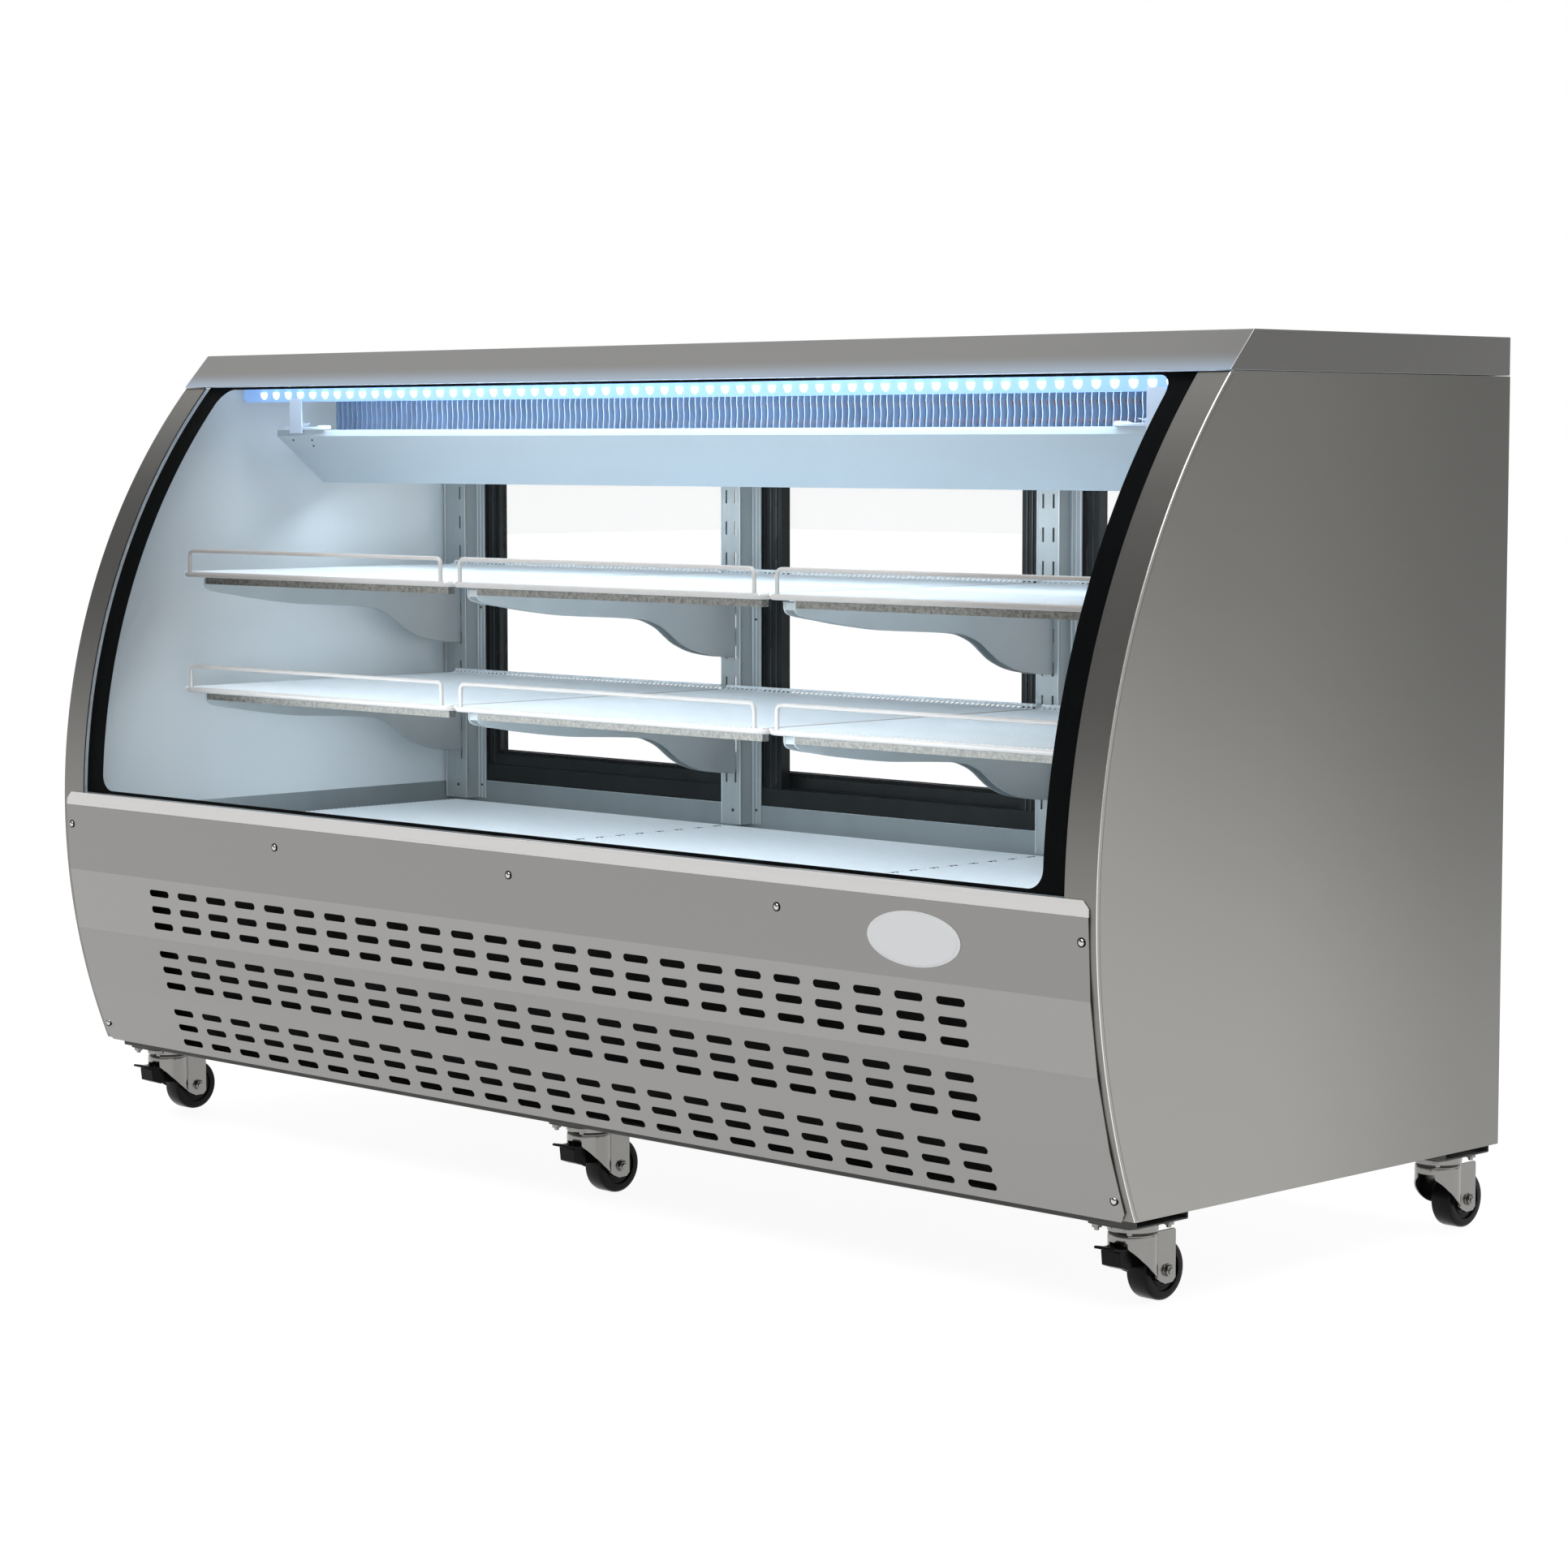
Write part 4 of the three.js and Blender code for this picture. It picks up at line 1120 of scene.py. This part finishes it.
def edge_height(y):
    """Lower edge of the fork's skirt at a distance behind the swivel axis."""
    for (y0, z0), (y1, z1) in zip(SKIRT_EDGE, SKIRT_EDGE[1:]):
        if y <= y1:
            return z0 + (z1 - z0) * max(0.0, y - y0) / (y1 - y0)
    return SKIRT_EDGE[-1][1]


def fork_skirt(fork, x, axis_y):
    """Round wall under the fork head on each side, scooped away over the wheel."""
    for side in (-1, 1):
        points = []
        steps, levels = 26, 8
        for i in range(steps + 1):
            angle = math.radians(28 + i * (146 - 28) / steps)
            low = edge_height(-30 * math.cos(angle))
            for k in range(levels + 1):
                z = 87.8 - (87.8 - low) * k / levels
                flare = 0.5 * k / levels
                for radius in (30 + flare, 27.8 + flare):
                    across, ahead = radius * math.sin(angle), radius * math.cos(angle)
                    points.append((x + side * across, axis_y - ahead, z))
        row = 2 * (levels + 1)
        faces = []
        for i in range(steps):
            for k in range(levels):
                a, b = i * row + 2 * k, (i + 1) * row + 2 * k
                faces += [[a, b, b + 2, a + 2], [a + 1, a + 3, b + 3, b + 1]]
            a, b = i * row, (i + 1) * row
            faces += [[a, a + 1, b + 1, b], [a + row - 2, b + row - 2, b + row - 1, a + row - 1]]
        for k in range(levels):
            a, b = 2 * k, steps * row + 2 * k
            faces += [[a, a + 2, a + 3, a + 1], [b, b + 1, b + 3, b + 2]]
        fork.add(points, faces)


def caster_fork(row, side):
    x, axis_y = CASTERS[side], AXES[row]
    fork = Shape()
    head = [(0, 77.7), (30.2, 77.7), (30.5, 80), (30.4, 85), (29.8, 87.4), (28.2, 89.6), (0, 89.6)]
    fork.turned(head, (x, axis_y, 0), "z", 56)
    fork_skirt(fork, x, axis_y)
    for x0 in (17.0, -19.6):
        fork.along_x([(axis_y + y, z) for y, z in LEG_LINE], x + x0, x + x0 + 2.6)
    axle = (x, axis_y + TRAIL, WHEEL_RADIUS)
    washer = [(0, 19.4), (8.6, 19.4), (8.6, 20.6), (0, 20.6)]
    nut = [(0, 20), (6.8, 20), (7.6, 20.8), (7.6, 24.4), (6.8, 25), (0, 25)]
    bolt = [(0, 19), (4.4, 19), (4.4, 26.4), (3.8, 27), (0, 27)]
    bolt_head = [(0, -19.4), (7.6, -19.4), (7.6, -23.6), (6.6, -24.6), (0, -24.6)]
    for profile, segments in ((washer, 28), (nut, 6), (bolt, 20), (bolt_head, 6)):
        fork.turned(profile, axle, "x", segments)
    fork.piece(f"fork_{row}_{side}", "zinc", "zinc", f"swivel_{row}_{side}", bevel=0.4,
               replaces=[f"caster_fork_{row}_{side}"])


WHEEL_HALF_WIDTH = 15.6
WHEEL_FACE = [
    (5.0, 1.2), (9.0, 1.2), (9.6, 3.4), (17.0, 3.4), (17.6, 1.8), (21.0, 1.8), (21.6, 3.0), (25.4, 3.0),
    (26.2, 0.4), (32.4, 0), (35.0, 0.8), (36.8, 2.6), (WHEEL_RADIUS, 5.0),
]


def caster_wheel(row, side):
    x, axis_y = CASTERS[side], AXES[row]
    wheel = Shape()
    profile = [(radius, depth - WHEEL_HALF_WIDTH) for radius, depth in WHEEL_FACE]
    mirrored = [(radius, -height) for radius, height in reversed(profile)]
    wheel.turned(profile + mirrored, (x, axis_y + TRAIL, WHEEL_RADIUS), "x", 72)
    wheel.piece(f"wheel_{row}_{side}", "rubber", "black_rubber", f"wheel_{row}_{side}", sharp=24,
                replaces=[f"caster_wheel_{row}_{side}"])


def brake_pedal(side):
    x, axis_y = CASTERS[side], AXES["front"]
    pedal = Shape()
    lever = [(-54, 73.4), (-53.8, 75.6), (-52.6, 76.6), (-36, 73.4), (-19.4, 73.4), (-19.4, 70), (-38, 70)]
    pedal.along_x([(axis_y + y, z) for y, z in lever], x - 15, x + 15)
    housing = [(-41.6, 69.8), (-19.4, 71.5), (-19.4, 47.2), (-24, 45.8), (-39.6, 51.6)]
    pedal.along_x([(axis_y + y, z) for y, z in housing], x - 14.6, x + 14.6)
    shoe = [(-21, 60), (2.8, 60), (0.8, 45.2), (-21, 47.2)]
    pedal.along_x([(axis_y + y, z) for y, z in shoe], x - 9, x + 9)
    for i in range(3):
        y = axis_y - 51 + i * 4.5
        pedal.box(x - 13.6, x + 13.6, y - 0.7, y + 0.7, 74.2 - i, 76.4 - 0.9 * i)
    pedal.piece(f"pedal_plate_{side}", "plastic", "black_plastic", f"pedal_{side}", bevel=0.6,
                replaces=[f"brake_pedal_{side}"])


for side in CASTERS:
    for row in AXES:
        caster_fork(row, side)
        caster_wheel(row, side)
    brake_pedal(side)

# ---- Floor, surroundings and lights ----


def dark_card():
    """A dark grey studio flag at the far right that only reflections see."""
    mesh = bpy.data.meshes.new("dark_card")
    corners = [(2600, 1000, 820), (4000, 6600, -1800), (4000, 6600, 3600), (2600, 1000, 3600)]
    mesh.from_pydata([at(*corner) for corner in corners], [], [(0, 1, 2, 3)])
    card = bpy.data.objects.new("dark_card", mesh)
    bpy.context.scene.collection.objects.link(card)
    mesh.materials.append(glow_material("dark_flat", (0.16, 0.16, 0.155), 0.6))
    card.visible_camera = False
    card.visible_diffuse = False
    card.visible_shadow = False


def studio_floor():
    mesh = bpy.data.meshes.new("floor")
    mesh.from_pydata([(-30, -30, 0), (30, -30, 0), (30, 30, 0), (-30, 30, 0)], [], [(0, 1, 2, 3)])
    floor = bpy.data.objects.new("floor", mesh)
    bpy.context.scene.collection.objects.link(floor)
    material = finish("pale_floor", (0.09, 0.09, 0.09), 0.7, 0, 0.02, 1)
    shader = material.node_tree.nodes["Principled BSDF"]
    set_sockets(shader, Emission_Color=(1, 1, 1, 1), Emission_Strength=0.93)
    mesh.materials.append(material)


def area_light(name, place, target, size, power, color=(1, 1, 1)):
    data = bpy.data.lights.new(name, "AREA")
    data.shape = "RECTANGLE"
    data.size, data.size_y = size
    data.energy = power
    data.color = color
    lamp = bpy.data.objects.new(name, data)
    lamp.location = at(*place)
    direction = at(*target) - at(*place)
    lamp.rotation_mode = "QUATERNION"
    lamp.rotation_quaternion = direction.to_track_quat("-Z", "Y")
    lamp.visible_camera = False
    bpy.context.scene.collection.objects.link(lamp)


def studio_world():
    """White to just above a tilted horizon, then fading into a dim studio ceiling."""
    world = bpy.data.worlds.new("studio")
    world.use_nodes = True
    tree = world.node_tree
    coords = tree.nodes.new("ShaderNodeTexCoord")
    tilt = tree.nodes.new("ShaderNodeMapping")
    set_sockets(tilt, Rotation=(math.radians(-11), 0, 0))
    split = tree.nodes.new("ShaderNodeSeparateXYZ")
    ramp = tree.nodes.new("ShaderNodeValToRGB")
    low, high = ramp.color_ramp.elements
    low.position, low.color = 0.125, (1, 1, 1, 1)
    high.position, high.color = 0.36, (0.07, 0.07, 0.07, 1)
    tree.links.new(coords.outputs["Generated"], tilt.inputs["Vector"])
    tree.links.new(tilt.outputs["Vector"], split.inputs["Vector"])
    tree.links.new(split.outputs["Z"], ramp.inputs["Fac"])
    tree.links.new(ramp.outputs["Color"], tree.nodes["Background"].inputs["Color"])
    bpy.context.scene.world = world


studio_floor()
dark_card()
studio_world()
bpy.context.scene.view_settings.view_transform = "Standard"

sun = bpy.data.lights.new("soft_sky", "SUN")
sun.energy, sun.angle = 3.5, math.radians(64)
sky = bpy.data.objects.new("soft_sky", sun)
sky.rotation_euler = (math.radians(14), math.radians(8), 0)
bpy.context.scene.collection.objects.link(sky)

area_light("case_light", (0, -70, 1084), (0, 170, 640), (1.58, 0.04), 2.9, (0.78, 0.90, 1.0))
area_light("front_fill", (0, -300, 780), (0, 200, 690), (1.25, 0.5), 1.4, (0.84, 0.93, 1.0))
area_light("shelf_fill", (0, 60, 930), (0, 270, 520), (1.84, 0.04), 2.0, (0.80, 0.91, 1.0))
area_light("deck_fill", (0, -330, 640), (0, 0, 448), (1.8, 0.08), 2.2, (0.84, 0.93, 1.0))
area_light("upper_spill", (0, -172, 1100), (0, -110, 1150), (1.85, 0.01), 0.35, (0.70, 0.85, 1.0))
area_light("coil_light", (0, -30, 1100), (0, 60, 1040), (1.8, 0.02), 0.4, (0.52, 0.72, 1.0))
area_light("cap_box", (-4300, 500, 5200), (0, 0, 1100), (4.2, 4.2), 44)
